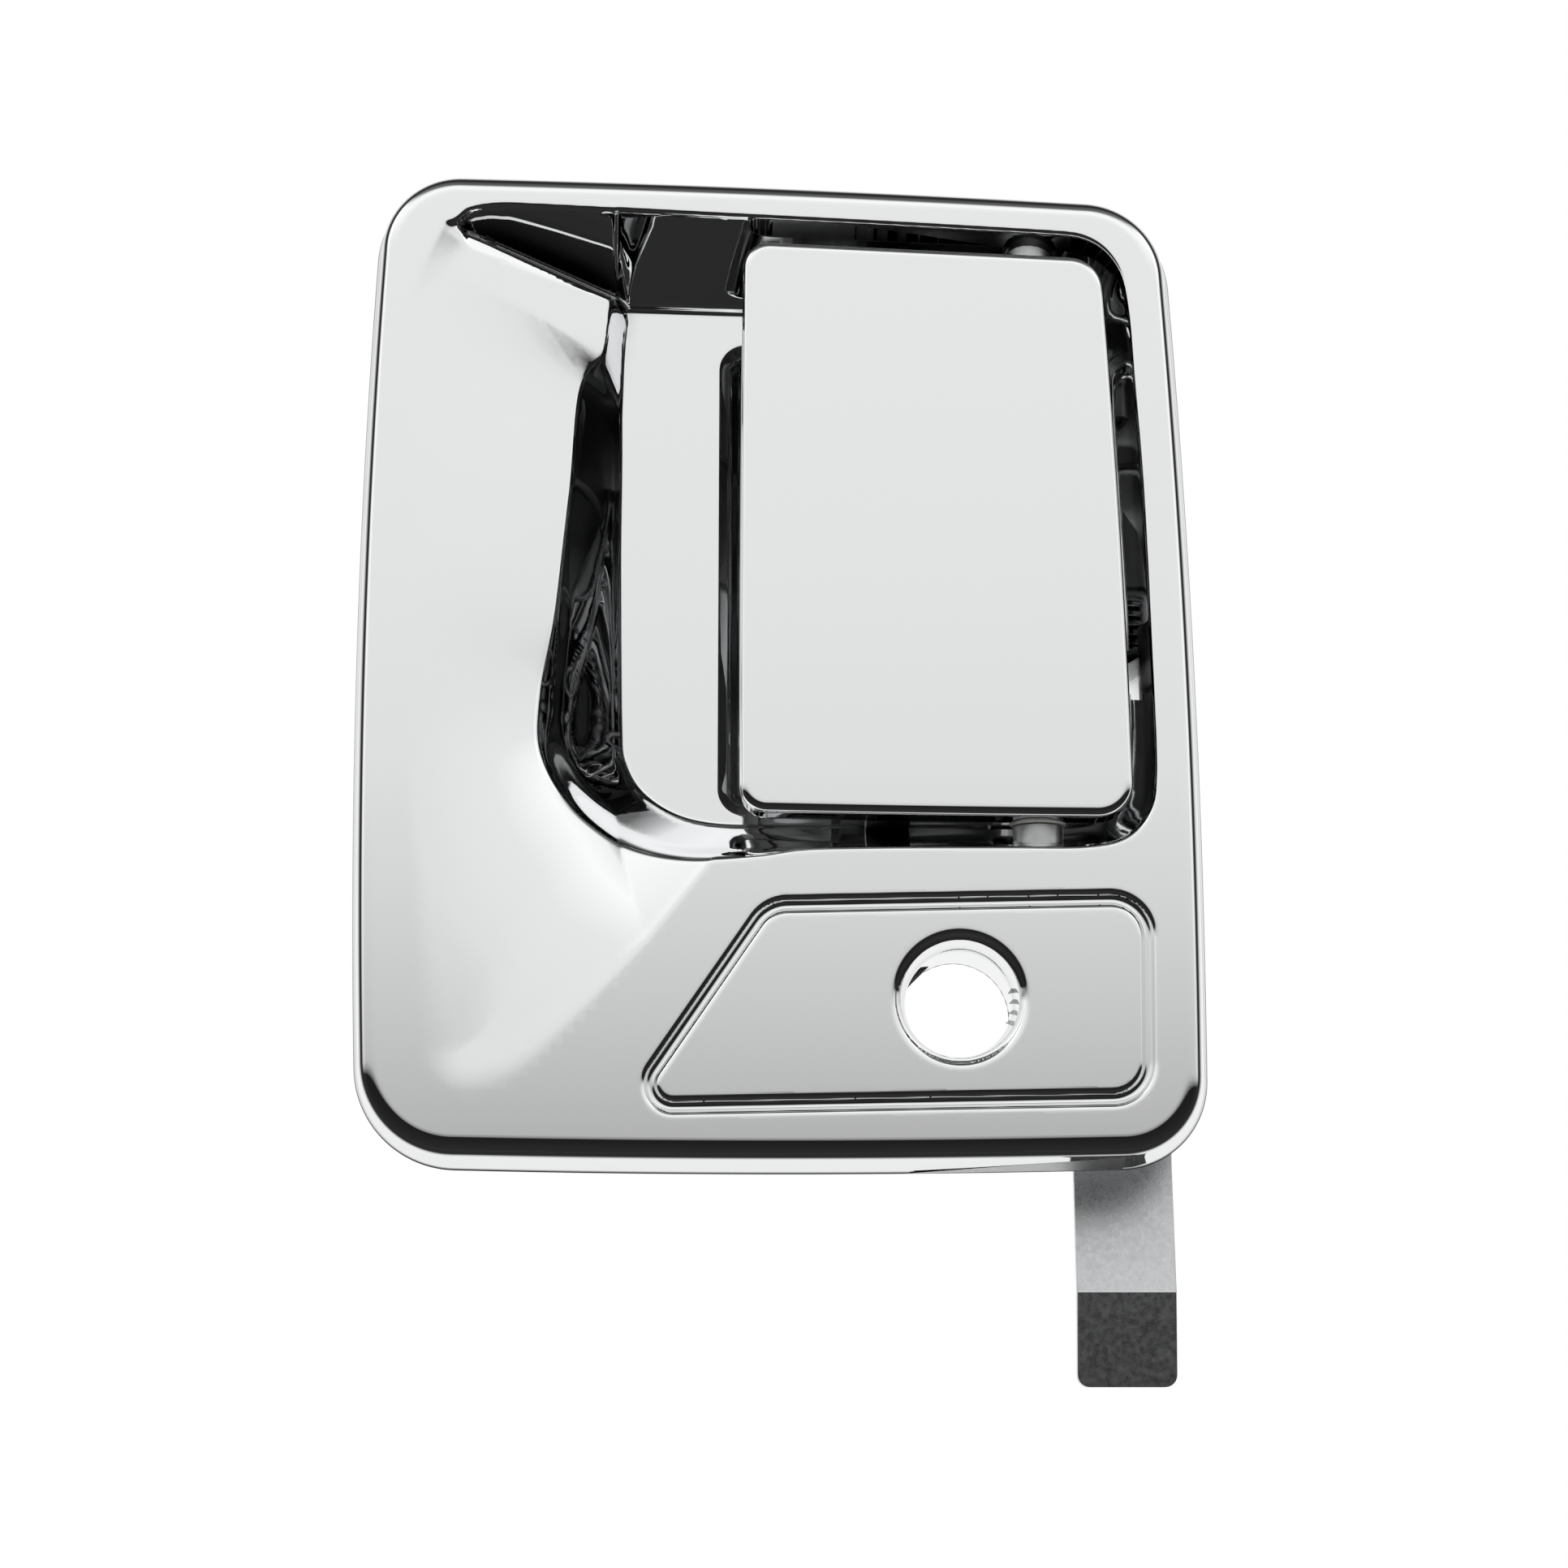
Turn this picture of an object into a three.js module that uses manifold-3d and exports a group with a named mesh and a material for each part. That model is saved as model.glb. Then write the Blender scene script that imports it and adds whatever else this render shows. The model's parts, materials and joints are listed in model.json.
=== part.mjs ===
// Exterior door handle of the pull-paddle kind, for a right-hand front door.
// Millimetres. +X points to the hinge side of the paddle, +Y into the door, +Z up.
// The origin lies on the door skin plane, at the middle of the gasket's lower run.
import * as THREE from "three";
import { mergeVertices } from "three/addons/utils/BufferGeometryUtils.js";
import Module from "manifold-3d";

const wasm = await Module();
wasm.setup();

// ---------- driving dimensions ----------
const FRONT_Y = -13; // front face of the bezel
const REAR_EDGE_Y = -1.6; // rear edge of the bezel's side wall
const SKIN = 2.5; // wall thickness of the castings
const RIM_WIDTH = 4; // width of the side wall at its rear edge
const EDGE_RADIUS = 3.4; // rounding between front face and side wall
const SIDE_FLARE = 1.7; // how far the side wall spreads out towards the door
const CROWN_MIDDLE_Z = 95; // height at which the front faces stand furthest out
const CROWN_RADIUS_Z = 2600; // bending of the front faces from top to bottom
const CROWN_RADIUS_X = 5000; // bending of the front faces from side to side
const SHELF_Y = 13; // floor of the finger pocket beside the paddle
const WELL_Y = 18; // floor of the deeper well behind the paddle
const HINGE = { x: 47, y: -4 }; // vertical axis of the paddle
const PIVOT = { y: 29.5, z: 140 }; // horizontal axis of the release lever
const LOCK = { x: 32.2, z: 28.4 }; // axis of the lock cylinder's sleeve
const STUDS = {
  upper: { at: [-64, 148], root: FRONT_Y + 7.1 },
  lower: { at: [2, 19], root: FRONT_Y + 5.3 },
};
const STRAP = { left: 54.8, right: 73.1, front: 24, thickness: 2.4, tipZ: -38.4 };
const GAP = 0.2; // joint line between pieces that rest on each other
const ARC_STEPS = 6; // facets in each rounded corner of an outline

// Corners of an outline seen from the front: [x, z, corner radius, bow of the side that follows].
// They run anticlockwise from the lower left corner.
const BEZEL = [
  [-75.6, -0.6, 19, 1.2],
  [76.6, -0.6, 16, 2.0],
  [72.4, 179.9, 17, 0.7],
  [-75.0, 186.4, 16, 2.6],
];
const POCKET_FRONT = [
  [-50, 55.2, 18, 0],
  [68.2, 55.2, 10, 0.7],
  [64.6, 171.8, 9, 0],
  [-46, 177.6, 3, 0],
];
const POCKET_FLOOR = [
  [-30, 64.3, 13, 0],
  [63, 64.3, 9, 0.3],
  [60.5, 163.4, 8, 0],
  [-30, 166, 3, 0],
];
const WELL = [
  [-11.5, 66.5, 4, 0],
  [61.5, 66.5, 7, 0],
  [59.5, 158, 7, 0],
  [-11.5, 159, 4, 0],
];
const SCOOP_FRONT = [
  [-69.5, 9, 26, 0],
  [-34, 9, 11, 0],
  [-4, 55, 6, 0],
  [-44, 177, 3, 0],
  [-59, 177.4, 2, 0],
  [-70.8, 160, 12, 0],
];
const SCOOP_FLOOR = [
  [-46, 57, 9, 0],
  [-32, 51, 5, 0],
  [-20, 56, 4, 0],
  [-30, 169, 2, 0],
  [-36, 168.6, 2, 0],
  [-42.6, 105, 24, 0],
];
const SCOOP_DEPTH = { atFoot: 5.8, footZ: 56, gain: 0.107 }; // it deepens upwards by this gain
const LOCK_GROOVE = [
  [-29.2, 7.6, 5.5, 0],
  [66.8, 9.4, 8, 0],
  [67.2, 47.8, 8, 0],
  [-2.6, 46.4, 8, 0],
];
const PADDLE = [
  [-7.1, 62.2, 5, 0.2],
  [63.9, 61.2, 6.5, 0.6],
  [59.9, 167.6, 6.5, 0],
  [-6.7, 171.0, 5, 0.2],
];

// ---------- shape helpers ----------
const point = (x, z) => new THREE.Vector2(x, z);

// A closed outline with bowed sides and rounded corners, always with the same number of points.
function roundedLoop(corners, steps = ARC_STEPS) {
  const sides = corners.map(([x, z, , bow], i) => {
    const [nextX, nextZ] = corners[(i + 1) % corners.length];
    const along = point(nextX - x, nextZ - z);
    const outward = point(along.y, -along.x).normalize();
    return (s) =>
      point(x, z)
        .addScaledVector(along, s)
        .addScaledVector(outward, bow * 4 * s * (1 - s));
  });
  const lengths = corners.map(([x, z], i) => {
    const [nextX, nextZ] = corners[(i + 1) % corners.length];
    return Math.hypot(nextX - x, nextZ - z);
  });
  const loop = [];
  corners.forEach(([x, z, radius, bow], i) => {
    const before = (i + corners.length - 1) % corners.length;
    const corner = point(x, z);
    const arriving = corner.clone().sub(sides[before](0.9)).normalize();
    const leaving = sides[i](0.1).sub(corner).normalize();
    const turn = Math.acos(THREE.MathUtils.clamp(arriving.dot(leaving), -1, 1));
    const reach = radius * Math.tan(turn / 2);
    const start = sides[before](1 - reach / lengths[before]);
    const end = sides[i](reach / lengths[i]);
    const handle = ((4 / 3) * Math.tan(turn / 4)) * radius;
    const arc = new THREE.CubicBezierCurve(
      start,
      start.clone().addScaledVector(arriving, handle),
      end.clone().addScaledVector(leaving, -handle),
      end,
    );
    loop.push(...arc.getPoints(steps));
    if (bow === 0) return;
    const nextReach = nextCornerReach(corners, i, sides);
    [0.33, 0.67].forEach((share) => {
      const from = reach / lengths[i];
      const to = 1 - nextReach / lengths[i];
      loop.push(sides[i](from + (to - from) * share));
    });
  });
  return loop;
}

function nextCornerReach(corners, i, sides) {
  const next = (i + 1) % corners.length;
  const corner = point(corners[next][0], corners[next][1]);
  const arriving = corner.clone().sub(sides[i](0.9)).normalize();
  const leaving = sides[next](0.1).sub(corner).normalize();
  const turn = Math.acos(THREE.MathUtils.clamp(arriving.dot(leaving), -1, 1));
  return corners[next][2] * Math.tan(turn / 2);
}

// The same outline moved inwards, or outwards where the distance is negative.
function inset(loop, distance) {
  return loop.map((p, i) => {
    const before = loop[(i + loop.length - 1) % loop.length];
    const after = loop[(i + 1) % loop.length];
    const tangent = after.clone().sub(before).normalize();
    return p.clone().add(point(-tangent.y, tangent.x).multiplyScalar(distance));
  });
}

// A closed solid through rings that hold equally many points, from front to rear. A ring's y is
// a number, or a function of height for a ring that leans.
function loft(rings) {
  const count = rings[0].loop.length;
  const level = (y, p) => (typeof y === "function" ? y(p.y) : y);
  const positions = rings.flatMap(({ loop, y }) => loop.flatMap((p) => [p.x, level(y, p), p.y]));
  const index = [];
  for (let r = 0; r + 1 < rings.length; r++) {
    for (let i = 0; i < count; i++) {
      const a = r * count + i;
      const b = r * count + ((i + 1) % count);
      index.push(a, a + count, b, b, a + count, b + count);
    }
  }
  const last = (rings.length - 1) * count;
  THREE.ShapeUtils.triangulateShape(rings[0].loop, []).forEach(([a, b, c]) => index.push(a, b, c));
  THREE.ShapeUtils.triangulateShape(rings[rings.length - 1].loop, []).forEach(([a, b, c]) =>
    index.push(last + a, last + c, last + b),
  );
  return new THREE.BufferGeometry()
    .setAttribute("position", new THREE.Float32BufferAttribute(positions, 3))
    .setIndex(index);
}

const prism = (loop, front, rear) =>
  loft([
    { loop, y: front },
    { loop, y: rear },
  ]);

function box([x0, x1], [y0, y1], [z0, z1]) {
  return new THREE.BoxGeometry(x1 - x0, y1 - y0, z1 - z0).translate(
    (x0 + x1) / 2,
    (y0 + y1) / 2,
    (z0 + z1) / 2,
  );
}

// A body turned about the Z axis from [radius, height] points that start and end on the axis.
const turned = (profile, facets = 20) =>
  new THREE.LatheGeometry(profile.map(([r, h]) => point(r, h)), facets).rotateX(Math.PI / 2);

// A round bar along "x", "y" or "z" through a centre given in the other two directions.
function rod(axis, radius, [from, to], centre, facets = 20) {
  const bar = turned([[0, from], [radius, from], [radius, to], [0, to]], facets);
  if (axis === "x") return bar.rotateY(Math.PI / 2).translate(0, centre[0], centre[1]);
  if (axis === "y") return bar.rotateX(-Math.PI / 2).translate(centre[0], 0, centre[1]);
  return bar.translate(centre[0], centre[1], 0);
}

// ---------- solids ----------
function solid(geometry) {
  const bare = geometry.index ? geometry.toNonIndexed() : geometry.clone();
  const positionOnly = new THREE.BufferGeometry().setAttribute(
    "position",
    bare.getAttribute("position"),
  );
  const merged = mergeVertices(positionOnly, 1e-4);
  const made = new wasm.Manifold(
    new wasm.Mesh({
      numProp: 3,
      vertProperties: merged.getAttribute("position").array,
      triVerts: new Uint32Array(merged.index.array),
    }),
  );
  if (made.volume() < 0) throw new Error("a solid is inside out");
  return made;
}

function geometryOf(manifold) {
  const mesh = manifold.getMesh();
  const positions = new Float32Array(mesh.numVert * 3);
  for (let i = 0; i < mesh.numVert; i++) {
    positions.set(mesh.vertProperties.subarray(i * mesh.numProp, i * mesh.numProp + 3), i * 3);
  }
  return new THREE.BufferGeometry()
    .setAttribute("position", new THREE.BufferAttribute(positions, 3))
    .setIndex(new THREE.BufferAttribute(mesh.triVerts, 1));
}

const join = (...geometries) => geometries.map(solid).reduce((whole, piece) => whole.add(piece));
const cut = (whole, ...geometries) =>
  geometries.map(solid).reduce((rest, piece) => rest.subtract(piece), whole);

// How far the crowned front faces fall back behind the flat front plane.
function crownDrop(x, z) {
  return (z - CROWN_MIDDLE_Z) ** 2 / (2 * CROWN_RADIUS_Z) + x ** 2 / (2 * CROWN_RADIUS_X);
}

function crowned(manifold) {
  const geometry = geometryOf(manifold);
  const position = geometry.getAttribute("position");
  for (let i = 0; i < position.count; i++) {
    const y = position.getY(i);
    const share = THREE.MathUtils.clamp((REAR_EDGE_Y - y) / (REAR_EDGE_Y - FRONT_Y), 0, 1);
    position.setY(i, y + share * crownDrop(position.getX(i), position.getZ(i)));
  }
  return solid(geometry);
}

// ---------- finishes ----------
const finish = (colour, roughness, metalness) =>
  new THREE.MeshStandardMaterial({ color: colour, roughness, metalness });
const FINISHES = {
  chrome: finish(0xe6e7e9, 0.05, 1),
  zincSteel: finish(0xaeb1b4, 0.35, 1),
  springSteel: finish(0x6f7276, 0.3, 1),
  foam: finish(0x1d1d1f, 0.95, 0),
  rubber: finish(0x161616, 0.8, 0),
  nylon: finish(0xd9d6cc, 0.5, 0),
};

const handle = new THREE.Group();
function add(name, shape, material) {
  const geometry = shape.isBufferGeometry ? shape : geometryOf(shape);
  const mesh = new THREE.Mesh(geometry, FINISHES[material]);
  mesh.name = name;
  handle.add(mesh);
}

// ---------- bezel housing ----------
const rearOutline = roundedLoop(BEZEL);

function bezelShell() {
  const sideFront = inset(rearOutline, SIDE_FLARE);
  const rounding = [0, 30, 60, 90].map((degrees) => {
    const angle = THREE.MathUtils.degToRad(degrees);
    return {
      loop: inset(sideFront, EDGE_RADIUS * (1 - Math.cos(angle))),
      y: FRONT_Y + EDGE_RADIUS * (1 - Math.sin(angle)),
    };
  });
  const pillow = loft([...rounding.reverse(), { loop: rearOutline, y: REAR_EDGE_Y }]);
  const hollow = prism(inset(rearOutline, RIM_WIDTH + SIDE_FLARE), FRONT_Y + SKIN, 0);
  const rearOpening = prism(inset(rearOutline, RIM_WIDTH), FRONT_Y + 6, 0);
  return cut(solid(pillow), hollow, rearOpening);
}

const POCKET_OUT = -0.3; // the pocket's front ring stands this far beyond the opening
function pocketVoid() {
  return loft([
    { loop: inset(roundedLoop(POCKET_FRONT), POCKET_OUT), y: FRONT_Y - 3 },
    { loop: roundedLoop(POCKET_FRONT), y: FRONT_Y },
    { loop: roundedLoop(POCKET_FLOOR), y: SHELF_Y },
  ]);
}

function pocketEnvelope() {
  return loft([
    { loop: inset(roundedLoop(POCKET_FRONT), -SKIN), y: FRONT_Y + 1.6 },
    { loop: inset(roundedLoop(POCKET_FLOOR), -SKIN), y: SHELF_Y + SKIN },
  ]);
}

const scoopBottom = (z) => FRONT_Y + SCOOP_DEPTH.atFoot + (z - SCOOP_DEPTH.footZ) * SCOOP_DEPTH.gain;
function scoopVoid() {
  return loft([
    { loop: roundedLoop(SCOOP_FRONT), y: FRONT_Y - 3 },
    { loop: roundedLoop(SCOOP_FRONT), y: FRONT_Y + 0.2 },
    { loop: roundedLoop(SCOOP_FLOOR), y: scoopBottom },
  ]);
}

function scoopEnvelope() {
  return loft([
    { loop: inset(roundedLoop(SCOOP_FRONT), -1), y: FRONT_Y + 1.6 },
    { loop: roundedLoop(SCOOP_FRONT), y: FRONT_Y + SKIN + 0.2 },
    { loop: inset(roundedLoop(SCOOP_FLOOR), -2), y: (z) => scoopBottom(z) + SKIN },
  ]);
}

const SLEEVE = { outer: 13.2, mouth: 11.3, throat: 10.2, lip: 9, rear: 14 };
const lockRod = (radius, span, facets = 32) => rod("y", radius, span, [LOCK.x, LOCK.z], facets);

// The groove round the raised lock panel.
function lockGroove() {
  const depth = 1.3;
  const width = 2.7;
  const outer = roundedLoop(LOCK_GROOVE);
  const inner = inset(outer, width);
  const slopes = 0.5;
  const trench = loft([
    { loop: inset(outer, -0.6), y: FRONT_Y - 3 },
    { loop: inset(outer, -0.1), y: FRONT_Y },
    { loop: inset(outer, slopes), y: FRONT_Y + depth },
  ]);
  const panel = loft([
    { loop: inset(inner, 1), y: FRONT_Y - 4 },
    { loop: inset(inner, 0.1), y: FRONT_Y },
    { loop: inset(inner, -slopes), y: FRONT_Y + depth + 1 },
  ]);
  return cut(solid(trench), panel);
}

// Slots for the legs of the clip that holds the lock cylinder, turned 45 degrees about the sleeve.
const CLIP = { y: 9.6, thickness: 1.1, legInner: 9.7, legOuter: 12.2, tilt: 45 };
const aroundLock = (geometry) =>
  geometry
    .rotateY(THREE.MathUtils.degToRad(CLIP.tilt))
    .translate(LOCK.x, 0, LOCK.z);
function clipSlot(side) {
  const [inner, outer] = [CLIP.legInner - 0.3, CLIP.legOuter + 2.2];
  const across = side > 0 ? [inner, outer] : [-outer, -inner];
  return aroundLock(box(across, [CLIP.y - 0.4, CLIP.y + CLIP.thickness + 0.4], [-14, 14]));
}

const LUGS = [
  [41.5, 44.7],
  [62.3, 65.5],
];
function leverLug(span) {
  const cheek = rod("x", 5, span, [PIVOT.y, PIVOT.z]);
  const web = box(span, [SHELF_Y + 1, PIVOT.y], [PIVOT.z - 5, PIVOT.z + 5]);
  return [cheek, web];
}

const HINGE_BOSSES = [
  [54.4, 60.7],
  [167.7, 177.4],
];
// Seats of the paddle's bump stops: a post on the well's floor below, a ledge under the rim above.
const STOPS = {
  x: 20,
  y: -1.6,
  seats: [
    { z: [62.8, 67.4], rear: WELL_Y + 1, stopZ: 64.9 },
    { z: [162.6, 176], rear: 2.4, stopZ: 165.2 },
  ],
};

function bezelHousing() {
  const wellOuter = prism(inset(roundedLoop(WELL), -SKIN), SHELF_Y - 1, WELL_Y + SKIN);
  const lockBacking = prism(inset(roundedLoop(LOCK_GROOVE), -1.5), FRONT_Y + 1.6, FRONT_Y + 4.2);
  const studBosses = Object.values(STUDS).map(({ at }) =>
    rod("y", 6, [FRONT_Y + 2, REAR_EDGE_Y], at),
  );
  const ribs = [
    box([-44, -42], [FRONT_Y + 2, REAR_EDGE_Y], [5, 50]),
    box([-10, 16], [FRONT_Y + 2, REAR_EDGE_Y - 2], [18, 20]),
    box([1, 3], [FRONT_Y + 2, REAR_EDGE_Y - 2], [4, 52]),
    box([60, 62], [FRONT_Y + 2, REAR_EDGE_Y - 2], [4, 52]),
    box([-71, -50], [FRONT_Y + 2, REAR_EDGE_Y - 2], [147, 149]),
    box([-71, -48], [FRONT_Y + 2, REAR_EDGE_Y - 2], [99, 101]),
  ];
  const body = join(
    pocketEnvelope(),
    scoopEnvelope(),
    wellOuter,
    lockBacking,
    lockRod(SLEEVE.outer, [FRONT_Y + 2, SLEEVE.rear]),
    ...studBosses,
    ...ribs,
    ...LUGS.flatMap(leverLug),
  ).add(bezelShell());
  const hollowed = cut(body, pocketVoid(), scoopVoid(), prism(roundedLoop(WELL), SHELF_Y - 4, WELL_Y));
  const bosses = join(
    ...HINGE_BOSSES.map((span) => rod("z", 4.6, span, [HINGE.x, HINGE.y])),
    ...STOPS.seats.map(({ z, rear }) => box([STOPS.x - 4, STOPS.x + 4], [STOPS.y, rear], z)),
  );
  const trimmed = bosses.intersect(solid(prism(inset(rearOutline, RIM_WIDTH + 0.5), FRONT_Y + 2, WELL_Y + 1)));
  const shaped = crowned(hollowed.add(trimmed).subtract(lockGroove()));
  return cut(
    shaped,
    rod("z", 2.85, [48, 175.4], [HINGE.x, HINGE.y]),
    rod("x", 2.35, [38, 70], [PIVOT.y, PIVOT.z]),
    lockRod(SLEEVE.mouth, [FRONT_Y - 4, FRONT_Y + 8]),
    lockRod(SLEEVE.lip, [FRONT_Y - 4, SLEEVE.rear + 4]),
    lockRod(SLEEVE.throat, [FRONT_Y + 10, SLEEVE.rear + 4]),
    clipSlot(1),
    clipSlot(-1),
    ...Object.values(STUDS).map(({ at, root }) => rod("y", 3.25, [root - 0.3, 2], at)),
    box(TONGUE.slotX, [SHELF_Y, WELL_Y + 6], TONGUE.slotZ),
  );
}

// ---------- release lever ----------
const TONGUE = {
  x: [54.6, 61.6],
  tipY: 4.7,
  z: [94.8, 97.2],
  slotX: [53.4, 62.7],
  slotZ: [90, 99],
};
// Front face of the strap from top to bottom: [y, z].
const STRAP_PATH = [
  [STRAP.front, 122],
  [STRAP.front, 1.5],
  [STRAP.front - 3, -21.3],
  [STRAP.front - 0.6, STRAP.tipZ],
];

function strap() {
  const back = STRAP_PATH.map(([y, z]) => [y + STRAP.thickness, z]).reverse();
  const side = new THREE.Shape([...STRAP_PATH, ...back].map(([y, z]) => point(y, z)));
  const blank = new THREE.ExtrudeGeometry(side, {
    depth: STRAP.right - STRAP.left,
    bevelEnabled: false,
  });
  // the shape's x and y become Y and Z, and the extrusion runs along X
  blank.rotateY(Math.PI / 2).rotateX(Math.PI / 2);
  return blank.translate(STRAP.left, 0, 0);
}

function plateCorner([x, z], radius) {
  return prism(
    roundedLoop([
      [x[0], z[0], radius, 0],
      [x[1], z[0], radius, 0],
      [x[1], z[1], radius, 0],
      [x[0], z[1], radius, 0],
    ]),
    STRAP.front - 12,
    STRAP.front + 12,
  );
}

const EARS = [
  [45.5, 47.5],
  [59.5, 61.5],
];

function releaseLever() {
  const head = prism(
    roundedLoop([
      [45.5, 118, 2, 0],
      [58, 104, 2, 0],
      [STRAP.right, 104, 2, 0],
      [STRAP.right, 112, 6, 0],
      [61.5, 124, 4, 0],
      [61.5, 147, 2, 0],
      [45.5, 147, 2, 0],
    ]),
    STRAP.front,
    STRAP.front + STRAP.thickness,
  );
  const ears = EARS.flatMap((span) => [
    rod("x", 4.8, span, [PIVOT.y, PIVOT.z]),
    box(span, [STRAP.front + 0.2, PIVOT.y], [PIVOT.z - 4.8, PIVOT.z + 4.8]),
  ]);
  const tongue = box(TONGUE.x, [TONGUE.tipY, STRAP.front + 1], TONGUE.z);
  const footShape = plateCorner([[STRAP.left, STRAP.right], [STRAP.tipZ, 118]], 2.2);
  const roundedStrap = solid(strap()).intersect(solid(footShape));
  const springWindow = box([47.7, 59.3], [STRAP.front - 1, STRAP.front + 4], [133.5, 150]);
  return cut(
    join(head, tongue, ...ears).add(roundedStrap),
    rod("x", 2.35, [40, 70], [PIVOT.y, PIVOT.z]),
    springWindow,
  );
}

// ---------- paddle ----------
function paddleBody() {
  const outline = roundedLoop(PADDLE);
  const radius = 1.7;
  const rings = [90, 60, 30, 0].map((degrees) => {
    const angle = THREE.MathUtils.degToRad(degrees);
    return {
      loop: inset(outline, radius * (1 - Math.cos(angle))),
      y: FRONT_Y + radius * (1 - Math.sin(angle)),
    };
  });
  const plate = loft([...rings, { loop: outline, y: FRONT_Y + 7 }]);
  const hollow = prism(inset(outline, 3), FRONT_Y + 3, FRONT_Y + 12);
  const shell = crowned(cut(solid(plate), hollow));
  const knuckles = KNUCKLES.flatMap((span) => [
    rod("z", 5.4, span, [HINGE.x, HINGE.y]),
    box([HINGE.x - 5.4, HINGE.x + 5.4], [FRONT_Y + 2, HINGE.y], span),
  ]);
  const pad = [
    box([57.2, 62.4], [FRONT_Y + 2, 2.4], [88, 100]),
    rod("z", 2.6, [88, 100], [59.8, 1.4], 16),
  ];
  const ribs = [
    box([-4.6, 62], [FRONT_Y + 2, FRONT_Y + 6], [118, 120]),
    box([-4.6, 57.6], [FRONT_Y + 2, FRONT_Y + 6], [143, 145]),
    box([10, 12], [FRONT_Y + 2, FRONT_Y + 6], [64.6, 168]),
  ];
  return cut(
    join(...knuckles, ...pad, ...ribs).add(shell),
    rod("z", 4.05, [60, 172], [HINGE.x, HINGE.y]),
    rod("z", 5.3, [60, 62], [HINGE.x, HINGE.y]),
    rod("z", 5.3, [166.4, 172], [HINGE.x, HINGE.y]),
  );
}
const KNUCKLES = [
  [62, 77],
  [152, 166.4],
];

// ---------- springs ----------
// A coil about the Z axis with a straight leg at each end; angles are in degrees from +X.
class TorsionCoil extends THREE.Curve {
  constructor({ radius, from, to, turns, startAngle, startLeg, endLeg }) {
    super();
    Object.assign(this, { radius, from, to, turns, startAngle, startLeg, endLeg });
    this.coilLength = Math.hypot(2 * Math.PI * radius * turns, to - from);
  }
  coilPoint(share) {
    const angle = THREE.MathUtils.degToRad(this.startAngle) + 2 * Math.PI * this.turns * share;
    const height = THREE.MathUtils.lerp(this.from, this.to, share);
    return new THREE.Vector3(this.radius * Math.cos(angle), this.radius * Math.sin(angle), height);
  }
  coilDirection(share) {
    return this.coilPoint(share + 1e-4).sub(this.coilPoint(share)).setZ(0).normalize();
  }
  getPoint(t) {
    const along = t * (this.startLeg + this.coilLength + this.endLeg);
    if (along < this.startLeg) {
      return this.coilPoint(0).addScaledVector(this.coilDirection(0), along - this.startLeg);
    }
    const onCoil = (along - this.startLeg) / this.coilLength;
    if (onCoil <= 1) return this.coilPoint(onCoil);
    const beyond = along - this.startLeg - this.coilLength;
    return this.coilPoint(1).addScaledVector(this.coilDirection(1 - 1e-4), beyond);
  }
}

function spring(coil, wireRadius, steps) {
  const section = new THREE.Shape(
    Array.from({ length: 6 }, (_, i) => {
      const angle = (i * Math.PI) / 3;
      return point(wireRadius * Math.cos(angle), wireRadius * Math.sin(angle));
    }),
  );
  return new THREE.ExtrudeGeometry(section, { steps, extrudePath: new TorsionCoil(coil) });
}

// ---------- small parts ----------
function retainingRing(inner, outer, thickness) {
  const opening = THREE.MathUtils.degToRad(35);
  const ring = new THREE.Shape();
  ring.absarc(0, 0, outer, opening, 2 * Math.PI - opening, false);
  ring.absarc(0, 0, inner, 2 * Math.PI - opening * 1.2, opening * 1.2, true);
  return new THREE.ExtrudeGeometry(ring, { depth: thickness, bevelEnabled: false, curveSegments: 10 });
}

const tube = (inner, outer, [from, to], facets = 20) =>
  new THREE.LatheGeometry(
    [
      point(inner, from),
      point(outer, from),
      point(outer, to),
      point(inner, to),
      point(inner, from),
    ],
    facets,
  ).rotateX(Math.PI / 2);

function hingeBush([bodyFrom, bodyTo], flangeAt) {
  const inner = 2.78;
  const flange = 0.9;
  const [flangeFrom, flangeTo] = flangeAt < bodyFrom + 1 ? [bodyFrom - flange, bodyFrom] : [bodyTo, bodyTo + flange];
  const sleeve = solid(tube(inner, 3.75, [bodyFrom, bodyTo]));
  return sleeve.add(solid(tube(inner, 5, [flangeFrom, flangeTo])));
}

function stud({ at, root }) {
  const tip = 19;
  const profile = [[0, root], [3, root], [3, tip - 1], [2.2, tip], [0, tip]];
  return turned(profile, 16).rotateX(-Math.PI / 2).translate(at[0], 0, at[1]);
}

function flangeNut(at) {
  const hexagon = rod("y", 5.77, [2, 6.6], at, 6);
  const flange = rod("y", 7, [0.9, 2.4], at, 24);
  return cut(join(hexagon, flange), rod("y", 3.3, [0, 8], at, 16));
}

function lockClip() {
  const reach = 13.4;
  const legs = [-1, 1].map((side) => {
    const across = side > 0 ? [CLIP.legInner, CLIP.legOuter] : [-CLIP.legOuter, -CLIP.legInner];
    return box(across, [CLIP.y, CLIP.y + CLIP.thickness], [-12, reach + 2]);
  });
  const bridge = box(
    [-CLIP.legOuter, CLIP.legOuter],
    [CLIP.y, CLIP.y + CLIP.thickness],
    [reach + 1, reach + 5],
  );
  const tab = box([-4, 4], [CLIP.y, CLIP.y + 5], [reach + 4, reach + 5]);
  return geometryOf(join(bridge, tab, ...legs)).rotateY(THREE.MathUtils.degToRad(CLIP.tilt))
    .translate(LOCK.x, 0, LOCK.z);
}

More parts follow.
